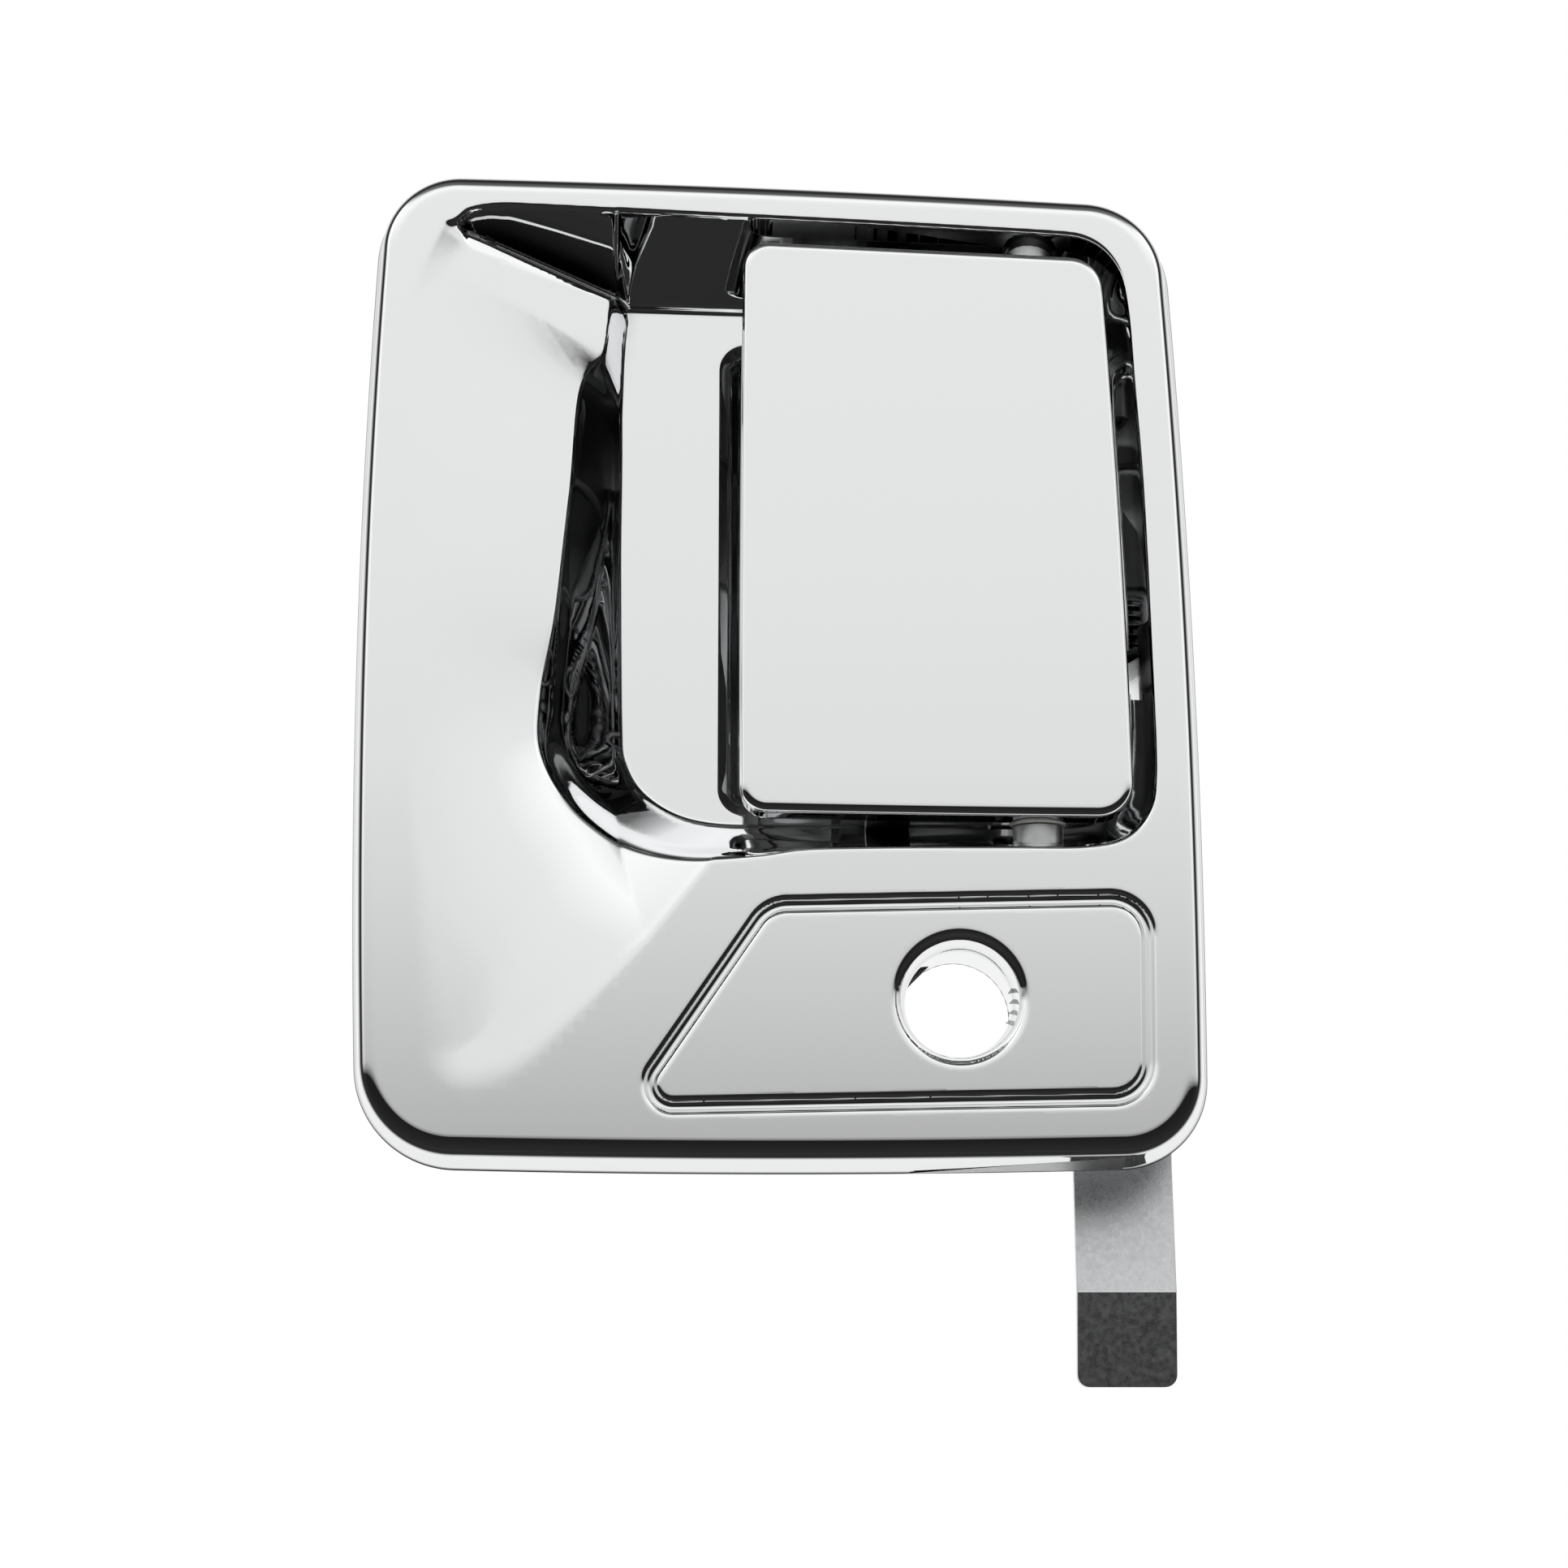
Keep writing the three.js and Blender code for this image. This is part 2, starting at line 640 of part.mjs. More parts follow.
// ---------- assembly ----------
add("bezel_housing", bezelHousing(), "chrome");
add(
  "perimeter_gasket",
  cut(
    solid(prism(inset(rearOutline, 0.5), REAR_EDGE_Y + GAP, 0)),
    prism(inset(rearOutline, RIM_WIDTH), REAR_EDGE_Y - 1, 1),
  ),
  "foam",
);
Object.entries(STUDS).forEach(([place, fixing]) => {
  const { at } = fixing;
  add(`${place}_stud`, stud(fixing), "zincSteel");
  add(`${place}_flange_nut`, flangeNut(at), "zincSteel");
  add(
    `${place}_stud_seal`,
    cut(solid(rod("y", 7.5, [REAR_EDGE_Y + GAP, 0], at)), rod("y", 3.3, [-4, 2], at, 16)),
    "foam",
  );
});

const HINGE_CLIP_Z = 51.4;
add(
  "hinge_pin",
  turned(
    [
      [0, 49.4], [2, 49.4], [2.5, 49.9], [2.5, HINGE_CLIP_Z - GAP], [1.9, HINGE_CLIP_Z - GAP],
      [1.9, HINGE_CLIP_Z + 0.9], [2.5, HINGE_CLIP_Z + 0.9], [2.5, 174.6], [2.2, 175], [0, 175],
    ],
    16,
  ).translate(HINGE.x, HINGE.y, 0),
  "zincSteel",
);
add(
  "hinge_pin_clip",
  retainingRing(2.15, 4.6, 0.8).rotateZ(Math.PI / 2).translate(HINGE.x, HINGE.y, HINGE_CLIP_Z),
  "springSteel",
);
add("paddle", paddleBody(), "chrome");
add(
  "lower_hinge_bush",
  geometryOf(hingeBush([61.9, 76], 61.9)).translate(HINGE.x, HINGE.y, 0),
  "nylon",
);
add(
  "upper_hinge_bush",
  geometryOf(hingeBush([153, 166.5], 200)).translate(HINGE.x, HINGE.y, 0),
  "nylon",
);
add(
  "paddle_return_spring",
  spring(
    { radius: 4.6, from: 101, to: 115, turns: 7.25, startAngle: 180, startLeg: 21, endLeg: 10 },
    0.7,
    150,
  ).translate(HINGE.x, HINGE.y, 0),
  "springSteel",
);
STOPS.seats.forEach(({ stopZ: z }, i) => {
  add(
    `${i === 0 ? "lower" : "upper"}_bump_stop`,
    rod("y", 2.4, [STOPS.y - 3.4, STOPS.y - GAP], [STOPS.x, z], 16),
    "rubber",
  );
});

add("release_lever", releaseLever(), "zincSteel");
add(
  "lever_pivot_pin",
  turned(
    [
      [0, 38.6], [3.6, 38.6], [3.6, 40.9], [2, 40.9], [2, 65.9], [1.5, 65.9], [1.5, 67], [2, 67],
      [2, 68], [1.6, 68.4], [0, 68.4],
    ],
    16,
  )
    .rotateY(Math.PI / 2)
    .translate(0, PIVOT.y, PIVOT.z),
  "zincSteel",
);
add(
  "lever_pivot_clip",
  retainingRing(1.75, 4, 0.8)
    .rotateZ(Math.PI / 2)
    .rotateY(Math.PI / 2)
    .translate(66.05, PIVOT.y, PIVOT.z),
  "springSteel",
);
add(
  "lever_spacer_tube",
  tube(2.3, 3.3, [47.8, 59.2], 16).rotateY(Math.PI / 2).translate(0, PIVOT.y, PIVOT.z),
  "nylon",
);
add(
  "lever_return_spring",
  spring(
    { radius: 4.3, from: 49.2, to: 57.6, turns: -5.3, startAngle: 180, startLeg: 8, endLeg: 19.6 },
    0.6,
    110,
  )
    .rotateY(Math.PI / 2)
    .translate(0, PIVOT.y, PIVOT.z),
  "springSteel",
);
add(
  "lever_stop_bumper",
  rod("y", 4, [WELL_Y + SKIN + GAP, STRAP.front - GAP], [57.6, 112], 20),
  "rubber",
);
add("lock_retainer_clip", lockClip(), "springSteel");

export default handle;
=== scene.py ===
"""Looks of an exterior car door handle: chromed bezel and paddle, zinc-plated release lever."""
import json
import math

import bmesh
import bpy
import numpy as np
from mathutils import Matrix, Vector
from mathutils.geometry import delaunay_2d_cdt


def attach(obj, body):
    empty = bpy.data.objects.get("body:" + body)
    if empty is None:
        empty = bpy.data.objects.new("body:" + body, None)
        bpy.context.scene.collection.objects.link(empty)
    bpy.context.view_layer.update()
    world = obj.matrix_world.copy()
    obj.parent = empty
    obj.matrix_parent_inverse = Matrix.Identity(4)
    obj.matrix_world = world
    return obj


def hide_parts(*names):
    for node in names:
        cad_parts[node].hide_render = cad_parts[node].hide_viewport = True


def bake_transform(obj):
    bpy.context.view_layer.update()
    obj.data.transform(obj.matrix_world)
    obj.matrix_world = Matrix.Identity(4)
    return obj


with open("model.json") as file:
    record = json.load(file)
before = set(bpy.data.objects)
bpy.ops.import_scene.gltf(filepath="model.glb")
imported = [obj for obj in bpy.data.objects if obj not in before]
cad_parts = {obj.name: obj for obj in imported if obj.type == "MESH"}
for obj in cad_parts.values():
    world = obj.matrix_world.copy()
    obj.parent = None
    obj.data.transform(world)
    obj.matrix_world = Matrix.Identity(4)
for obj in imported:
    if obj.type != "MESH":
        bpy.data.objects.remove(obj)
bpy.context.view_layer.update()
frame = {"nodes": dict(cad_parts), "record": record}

MM = 0.001
NODES = frame["nodes"]


# ---------------------------------------------------------------- camera, floor and light
CAMERA_TILT = math.radians(12.0)
CAMERA_DISTANCE = 0.6


def make_camera():
    """A camera slightly below the part, looking up at its front."""
    forward = Vector((0, math.cos(CAMERA_TILT), math.sin(CAMERA_TILT)))
    aim = Vector((0.9, -13.0, 67.0)) * MM
    data = bpy.data.cameras.new("camera")
    data.lens = 76.8
    data.sensor_width = 36
    data.clip_start = 0.01
    data.clip_end = 50
    camera = bpy.data.objects.new("camera", data)
    camera.location = aim - forward * CAMERA_DISTANCE
    camera.rotation_euler = forward.to_track_quat("-Z", "Y").to_euler()
    bpy.context.collection.objects.link(camera)
    bpy.context.scene.camera = camera


def node_tree(owner):
    owner.use_nodes = True
    tree = owner.node_tree
    tree.nodes.clear()
    return tree


def link_math(tree, operation, a, b):
    node = tree.nodes.new("ShaderNodeMath")
    node.operation = operation
    for i, value in enumerate((a, b)):
        if isinstance(value, (int, float)):
            node.inputs[i].default_value = value
        else:
            tree.links.new(value, node.inputs[i])
    return node.outputs[0]


def ramp(tree, factor, stops):
    node = tree.nodes.new("ShaderNodeValToRGB")
    node.color_ramp.interpolation = "LINEAR"
    elements = node.color_ramp.elements
    while len(elements) > 1:
        elements.remove(elements[-1])
    for i, (position, value) in enumerate(stops):
        element = elements[0] if i == 0 else elements.new(position)
        element.position = position
        colour = value if isinstance(value, tuple) else (value, value, value)
        element.color = (*colour, 1)
    tree.links.new(factor, node.inputs[0])
    return node.outputs[0]


def make_world():
    """A white studio: a tall soft panel in front, dark below and at the sides."""
    world = bpy.data.worlds.new("studio")
    bpy.context.scene.world = world
    tree = node_tree(world)
    output = tree.nodes.new("ShaderNodeOutputWorld")
    position = tree.nodes.new("ShaderNodeTexCoord").outputs["Generated"]
    split = tree.nodes.new("ShaderNodeSeparateXYZ")
    tree.links.new(position, split.inputs[0])
    _, y, z = split.outputs
    height = link_math(tree, "MULTIPLY_ADD", z, 0.5)
    height.node.inputs[2].default_value = 0.5
    rising = ramp(tree, height, [(0.0, 0.02), (0.470, 0.01), (0.50, 0.24), (0.517, 0.38), (0.544, 0.48),
                                 (0.57, 0.56), (0.60, 0.625), (0.64, 0.65), (0.71, 0.67), (0.82, 0.82),
                                 (0.88, 0.75), (0.93, 0.12), (1.0, 0.03)])
    # from behind, +Y, round to the front
    side = link_math(tree, "MULTIPLY_ADD", y, -0.5)
    side.node.inputs[2].default_value = 0.5
    front = ramp(tree, side, [(0.0, 0.0), (0.5, 0.02), (0.545, 0.6), (0.585, 0.9), (0.63, 0.95),
                              (0.72, 0.77), (1.0, 0.77)])
    backdrop = ramp(tree, side, [(0.0, 0.56), (0.16, 0.5), (0.26, 0.3), (0.36, 0.02), (1.0, 0.0)])
    light = link_math(tree, "MAXIMUM", link_math(tree, "MULTIPLY", rising, front), backdrop)
    seen = tree.nodes.new("ShaderNodeBackground")
    seen.inputs["Color"].default_value = (1, 1, 1, 1)
    seen.inputs["Strength"].default_value = 1.0
    reflected = tree.nodes.new("ShaderNodeBackground")
    tree.links.new(light, reflected.inputs["Color"])
    reflected.inputs["Strength"].default_value = 1.69
    path = tree.nodes.new("ShaderNodeLightPath")
    mix = tree.nodes.new("ShaderNodeMixShader")
    tree.links.new(path.outputs["Is Camera Ray"], mix.inputs[0])
    tree.links.new(reflected.outputs[0], mix.inputs[1])
    tree.links.new(seen.outputs[0], mix.inputs[2])
    tree.links.new(mix.outputs[0], output.inputs["Surface"])


def make_floor():
    bpy.ops.mesh.primitive_plane_add(size=8, location=(0, 0, -0.45))
    floor = bpy.context.object
    floor.name = "studio_floor"
    floor.visible_glossy = False
    material = bpy.data.materials.new("pale_floor")
    tree = node_tree(material)
    shader = tree.nodes.new("ShaderNodeBsdfPrincipled")
    shader.inputs["Base Color"].default_value = (0.9, 0.9, 0.9, 1)
    shader.inputs["Roughness"].default_value = 0.9
    output = tree.nodes.new("ShaderNodeOutputMaterial")
    tree.links.new(shader.outputs[0], output.inputs[0])
    floor.data.materials.append(material)


# ---------------------------------------------------------------- materials
def base_material(name, colour, metallic, roughness):
    material = bpy.data.materials.new(name)
    tree = node_tree(material)
    shader = tree.nodes.new("ShaderNodeBsdfPrincipled")
    shader.inputs["Base Color"].default_value = (*colour, 1)
    shader.inputs["Metallic"].default_value = metallic
    shader.inputs["Roughness"].default_value = roughness
    output = tree.nodes.new("ShaderNodeOutputMaterial")
    tree.links.new(shader.outputs[0], output.inputs[0])
    return material, tree, shader


def noise(tree, scale, detail, distortion=0.0):
    coordinates = tree.nodes.new("ShaderNodeTexCoord").outputs["Object"]
    node = tree.nodes.new("ShaderNodeTexNoise")
    node.inputs["Scale"].default_value = scale
    node.inputs["Detail"].default_value = detail
    node.inputs["Distortion"].default_value = distortion
    tree.links.new(coordinates, node.inputs["Vector"])
    return node.outputs["Fac"]


def bump(tree, shader, height, strength, distance):
    node = tree.nodes.new("ShaderNodeBump")
    node.inputs["Strength"].default_value = strength
    node.inputs["Distance"].default_value = distance
    tree.links.new(height, node.inputs["Height"])
    tree.links.new(node.outputs[0], shader.inputs["Normal"])


CHROME = (0.9, 0.905, 0.91)
# painted shade: the chrome's base colour deep in narrow gaps
PAINTED_GAP_SHADE = (0.06, 0.06, 0.06)
GAP_REACH = 0.008


def chrome_material(name):
    """Bright plate over a polished casting, with a breath of haze and painted shade in narrow gaps."""
    material, tree, shader = base_material(name, CHROME, 1.0, 0.03)
    haze = noise(tree, 90, 4)
    tree.links.new(ramp(tree, haze, [(0.35, 0.012), (0.75, 0.05)]), shader.inputs["Roughness"])
    # painted shade: the base colour goes almost black in narrow gaps, where an ambient occlusion node finds
    # close surfaces
    recess = tree.nodes.new("ShaderNodeAmbientOcclusion")
    recess.inputs["Distance"].default_value = GAP_REACH
    recess.samples = 8
    painted_gap_shade = ramp(tree, recess.outputs["AO"], [(0.22, PAINTED_GAP_SHADE), (0.6, CHROME)])
    tree.links.new(painted_gap_shade, shader.inputs["Base Color"])
    return material


def cast_back_material(name):
    """The unpolished rear of a plated casting: satin, with the casting's fine grain."""
    material, tree, shader = base_material(name, (0.62, 0.625, 0.63), 1.0, 0.3)
    satin = ramp(tree, noise(tree, 1400, 3), [(0.3, 0.34), (0.75, 0.42)])
    tree.links.new(satin, shader.inputs["Roughness"])
    bump(tree, shader, noise(tree, 2600, 3), 0.12, 0.0001)
    return material


def zinc_material(name, colour, low, high):
    """Electroplated zinc: cool grey, with a fine mottled spangle."""
    material, tree, shader = base_material(name, colour, 1.0, 0.3)
    mottle = noise(tree, 2600, 3, 0.2)
    shade = tuple(0.9 * c for c in colour)
    tree.links.new(ramp(tree, mottle, [(0.35, shade), (0.7, colour)]), shader.inputs["Base Color"])
    tree.links.new(ramp(tree, noise(tree, 900, 3), [(0.3, low), (0.75, high)]), shader.inputs["Roughness"])
    bump(tree, shader, noise(tree, 3000, 3), 0.1, 0.0001)
    return material


def plain_material(name, colour, roughness, grain, strength, depth):
    material, tree, shader = base_material(name, colour, 0.0, roughness)
    shade = tuple(0.7 * c for c in colour)
    grainy = noise(tree, grain, 4)
    tree.links.new(ramp(tree, grainy, [(0.3, shade), (0.7, colour)]), shader.inputs["Base Color"])
    bump(tree, shader, grainy, strength, depth)
    return material


MATERIALS = {
    "bezel_chrome": chrome_material("bezel_chrome"),
    "paddle_chrome": chrome_material("paddle_chrome"),
    "cast_back": cast_back_material("cast_back"),
    "lever_zinc": zinc_material("lever_zinc", (0.74, 0.75, 0.76), 0.24, 0.34),
    "fastener_zinc": zinc_material("fastener_zinc", (0.7, 0.71, 0.72), 0.18, 0.34),
    "spring_steel": zinc_material("spring_steel", (0.3, 0.3, 0.31), 0.25, 0.4),
    "gasket_foam": plain_material("gasket_foam", (0.022, 0.022, 0.024), 0.85, 1600, 0.6, 0.0004),
    "nylon": plain_material("nylon", (0.78, 0.77, 0.72), 0.42, 500, 0.1, 0.0002),
    "rubber": plain_material("rubber", (0.02, 0.02, 0.02), 0.7, 900, 0.3, 0.0003),
}
SLOTS = {subpart["node"]: subpart["material_slot"] for subpart in frame["record"]["subparts"]}
for node, slot in SLOTS.items():
    NODES[node].data.materials.clear()
    NODES[node].data.materials.append(MATERIALS[slot])

bpy.context.scene.view_settings.view_transform = "Standard"
make_camera()
make_world()
make_floor()


# ---------------------------------------------------------------- outlines, in millimetres
def arc_loop(corners, steps=24, side_points=14):
    """A closed outline from [x, z, radius, bow of the next side], anticlockwise, as part.mjs draws it."""
    corners = [np.array(c, float) for c in corners]
    count = len(corners)

    def side(i, s):
        a, b = corners[i][:2], corners[(i + 1) % count][:2]
        along = b - a
        outward = np.array([along[1], -along[0]]) / np.hypot(*along)
        return a + along * s + outward * corners[i][3] * 4 * s * (1 - s)

    def turn(i):
        before = (i - 1) % count
        arriving = corners[i][:2] - side(before, 0.9)
        leaving = side(i, 0.1) - corners[i][:2]
        arriving = arriving / np.hypot(*arriving)
        leaving = leaving / np.hypot(*leaving)
        angle = math.acos(np.clip(arriving @ leaving, -1, 1))
        return arriving, leaving, angle, corners[i][2] * math.tan(angle / 2)

    points = []
    for i in range(count):
        before = (i - 1) % count
        length = np.hypot(*(corners[(i + 1) % count][:2] - corners[i][:2]))
        length_before = np.hypot(*(corners[i][:2] - corners[before][:2]))
        arriving, leaving, angle, reach = turn(i)
        start = side(before, 1 - reach / length_before)
        end = side(i, reach / length)
        handle = 4 / 3 * math.tan(angle / 4) * corners[i][2]
        for s in np.linspace(0, 1, steps + 1):
            points.append(start * (1 - s) ** 3 + (start + arriving * handle) * 3 * s * (1 - s) ** 2
                          + (end - leaving * handle) * 3 * s * s * (1 - s) + end * s ** 3)
        first, last = reach / length, 1 - turn((i + 1) % count)[3] / length
        for s in np.linspace(first, last, side_points + 2)[1:-1]:
            points.append(side(i, s))
    return np.array(points)


def resample(loop, count):
    """The closed loop through count evenly spaced points."""
    closed = np.vstack([loop, loop[:1]])
    run = np.concatenate([[0], np.cumsum(np.hypot(*np.diff(closed, axis=0).T))])
    at = np.linspace(0, run[-1], count, endpoint=False)
    return np.column_stack([np.interp(at, run, closed[:, k]) for k in (0, 1)])


def soften(loop, passes):
    for _ in range(passes):
        loop = 0.25 * np.roll(loop, 1, 0) + 0.5 * loop + 0.25 * np.roll(loop, -1, 0)
    return loop


def catmull_rom(a, b, c, d, s):
    """The curve from b to c, at shares s of the way, between its neighbours a and d."""
    return 0.5 * (2 * b + (c - a) * s + (2 * a - 5 * b + 4 * c - d) * s ** 2
                  + (3 * b - a - 3 * c + d) * s ** 3)


SPAN_SHARES = np.linspace(0, 1, 10, endpoint=False)[:, None]


def spline(points):
    """A closed curve through the points."""
    p = np.array(points, float)
    spans = [[p[(i + k) % len(p)] for k in (-1, 0, 1, 2)] for i in range(len(p))]
    return np.vstack([catmull_rom(*span, SPAN_SHARES) for span in spans])


def spline_open(points):
    """An open curve through the points."""
    p = np.array(points, float)
    longer = np.vstack([2 * p[0] - p[1], p, 2 * p[-1] - p[-2]])
    spans = [longer[i - 1:i + 3] for i in range(1, len(longer) - 2)]
    return np.vstack([*(catmull_rom(*span, SPAN_SHARES) for span in spans), p[-1:]])


def loop_normals(loop):
    """Inward normals of an anticlockwise loop."""
    tangent = np.roll(loop, -1, 0) - np.roll(loop, 1, 0)
    tangent /= np.hypot(*tangent.T)[:, None]
    return np.column_stack([-tangent[:, 1], tangent[:, 0]])


# ---------------------------------------------------------------- the bezel's front, as a relief
# corners with four values are (x, z, radius, bow of the next side); the rest are (x, z)
FRONT_Y, REAR_Y, FLOOR = -13.0, -1.6, 26.0
BEZEL = [(-75.6, -0.6, 19, 1.2), (76.6, -0.6, 16, 2.0), (72.4, 179.9, 17, 0.7), (-75.0, 186.4, 16, 2.6)]
CROWN_Z, CROWN_RZ, CROWN_RX = 95.0, 2600.0, 5000.0
SCOOP = [(-70.5, 4.5), (40, 4.5), (40, 260), (-72.5, 260)]
SCOOP_RADII = (16, 5, 5, 5)
POCKET = [(-33, 153), (-37.6, 146), (-39.3, 125), (-42, 102), (-45, 87), (-45, 75), (-39, 64),
          (-28, 56), (-16, 52.8), (-4, 53.4), (5, 54.9), (18, 55.3), (40, 55.4), (55, 55.5),
          (62.5, 57.2), (66.8, 62), (68, 69), (67.6, 92), (66.8, 122), (65.6, 143), (64.7, 158),
          (63, 166), (57.5, 171.5), (46, 173.5), (20, 176.2), (-10, 179), (-29, 180), (-31.5, 165)]
POCKET_FLOOR = [(-30.3, 154), (-30.2, 135), (-30.2, 114), (-29.6, 83), (-28.9, 76.6), (-25.8, 71),
                (-19.7, 66.6), (-12, 64.6), (0, 64.3), (30, 64.3), (54, 64.3), (61, 67), (63, 74),
                (62.8, 100), (61.6, 140), (60.9, 155), (58.5, 161.5), (52, 163.7), (20, 165), (-10, 166),
                (-28, 166.6), (-29.6, 163)]
CEILING = [(-100, 190), (-82, 190), (-70, 184), (-62.3, 175.2), (-58, 177.2), (-53, 178.1), (-45, 177.9),
           (-9, 175.8), (20, 174.2), (56, 172.1), (80, 170.8), (120, 168.5)]
WELL = [(-11.5, 66.5, 5, 0), (61.5, 66.5, 7, 0), (59.5, 158, 7, 0), (-11.5, 159, 5, 0)]
LOCK_GROOVE = [(-29.2, 7.6, 5.5, 0), (66.8, 9.4, 8, 0), (67.2, 47.8, 8, 0), (-2.6, 46.4, 8, 0)]
LOCK = (32.2, 28.4)
CREST = ((-61.9, 174.4), (-32.1, 164.4))
FACET_LOWER = ((-51.9, 168.7), (-38.5, 149.6))
FACET_UPPER = ((-51.9, 168.7), (-36.0, 165.2))
TONGUE_SLOT = ((53.6, 90.2), (61.9, 98.6))
LOCK_MOUTH = 10.6
# (radius, y) from the mouth to the rear end
LOCK_SLEEVE = [(10.5, -10.6), (10.35, -8), (10.2, -6), (10.0, -5.2), (9.8, -4.8), (9.65, -4.2), (9.6, -3.4),
               (9.65, -2.9), (9.9, -2.6), (10.2, -2.5), (10.2, 13.6), (10.6, 14.0)]
FALL_LINE = ((-44.5, 9.5), (-10.5, 53.5))
CEILING_END = ((-62.3, 179), (-74, 164))
# (x, y) of the paddle's upright axis and (y, z) of the lever's level axis
HINGE = (47, -4)
LEVER_PIVOT = (29.5, 140)
SPACING = 0.25
GRID_X = np.arange(-76, 76.01, SPACING)
GRID_Z = np.arange(0, 188.01, SPACING)


def smax(a, b, k):
    """The larger of a and b, rounded over k where they cross."""
    h = np.maximum(k - np.abs(a - b), 0) / k
    return np.maximum(a, b) + h * h * k / 4


def smin(a, b, k):
    return -smax(-a, -b, k)


def rise(value, k):
    """0 below zero, the value itself above k, and a smooth bend between."""
    t = np.clip(value, 0, None)
    return np.where(t < k, t * t * (2 * k - t) / (k * k), t)


def smooth(t):
    """A smooth step from 0 at 0 to 1 at 1."""
    t = np.clip(t, 0, 1)
    return t * t * (3 - 2 * t)


def crown(x, z):
    """How far the whole front curves back, away from its middle height."""
    return (z - CROWN_Z) ** 2 / (2 * CROWN_RZ) + x ** 2 / (2 * CROWN_RX)


COARSER = 2


def distance_inside(loop):
    """Signed distance to a closed loop over the grid, positive inside it."""
    x, z = GRID_X[::COARSER], GRID_Z[::COARSER]
    gx, gz = (g.ravel().astype(np.float32) for g in np.meshgrid(x, z, indexing="ij"))
    nearest = np.full(gx.shape, 1e12, np.float32)
    inside = np.zeros(gx.shape, bool)
    for (ax, az), (bx, bz) in zip(loop, np.roll(loop, -1, 0)):
        ex, ez = bx - ax, bz - az
        s = np.clip(((gx - ax) * ex + (gz - az) * ez) / (ex * ex + ez * ez + 1e-12), 0, 1)
        nearest = np.minimum(nearest, (gx - ax - s * ex) ** 2 + (gz - az - s * ez) ** 2)
        if az != bz:
            inside ^= ((az > gz) != (bz > gz)) & (gx < (bx - ax) * (gz - az) / (bz - az) + ax)
    signed = np.where(inside, 1, -1) * np.sqrt(nearest)
    return refine(signed.reshape(len(x), len(z)).astype(float))


def refine(field):
    """A field on the coarser grid, brought to the full grid by cubic interpolation."""
    for axis, count in ((0, len(GRID_X)), (1, len(GRID_Z))):
        field = np.moveaxis(field, axis, 0)
        at = np.arange(count) / COARSER
        i = np.clip(at.astype(int), 0, len(field) - 2)
        s = (at - i)[:, None]
        a, b, c, d = (field[np.clip(i + k, 0, len(field) - 1)] for k in (-1, 0, 1, 2))
        field = catmull_rom(a, b, c, d, s)
        field = np.moveaxis(field, 0, axis)
    return field


def blur(field, sigma):
    """The field with features smaller than sigma millimetres smoothed away."""
    reach = int(3 * sigma / SPACING + 1)
    weights = np.exp(-0.5 * (np.arange(-reach, reach + 1) * SPACING / sigma) ** 2)
    weights /= weights.sum()
    for axis in (0, 1):
        padded = np.pad(field, [(reach, reach) if k == axis else (0, 0) for k in (0, 1)], mode="edge")
        shifted = (np.take(padded, range(i, i + field.shape[axis]), axis) for i in range(len(weights)))
        field = sum(w * part for w, part in zip(weights, shifted))
    return field


def share(outer, inner):
    """0 on the outer outline and 1 on the inner, running on past both."""
    return outer / np.maximum(outer - inner, 0.4)


def even(loop):
    """The loop with the small unevenness of its curvature taken out."""
    return soften(resample(loop, 900), 7)


def thin_line(a, b):
    """1 along the middle of a hair line from a to b, 0 away from it."""
    a, b = np.array(a), np.array(b)
    along = (b - a) / math.dist(a, b)
    dx, dz = GRID_X[:, None] - a[0], GRID_Z[None, :] - a[1]
    s = np.clip(dx * along[0] + dz * along[1], 0, math.dist(a, b))
    return np.exp(-((dx - s * along[0]) ** 2 + (dz - s * along[1]) ** 2) / 0.16)


def beyond_line(a, b):
    """Signed distance over the grid from the line through a and b, positive on its left-hand side."""
    along = np.subtract(b, a) / math.dist(a, b)
    return (GRID_Z[None, :] - a[1]) * along[0] - (GRID_X[:, None] - a[0]) * along[1]


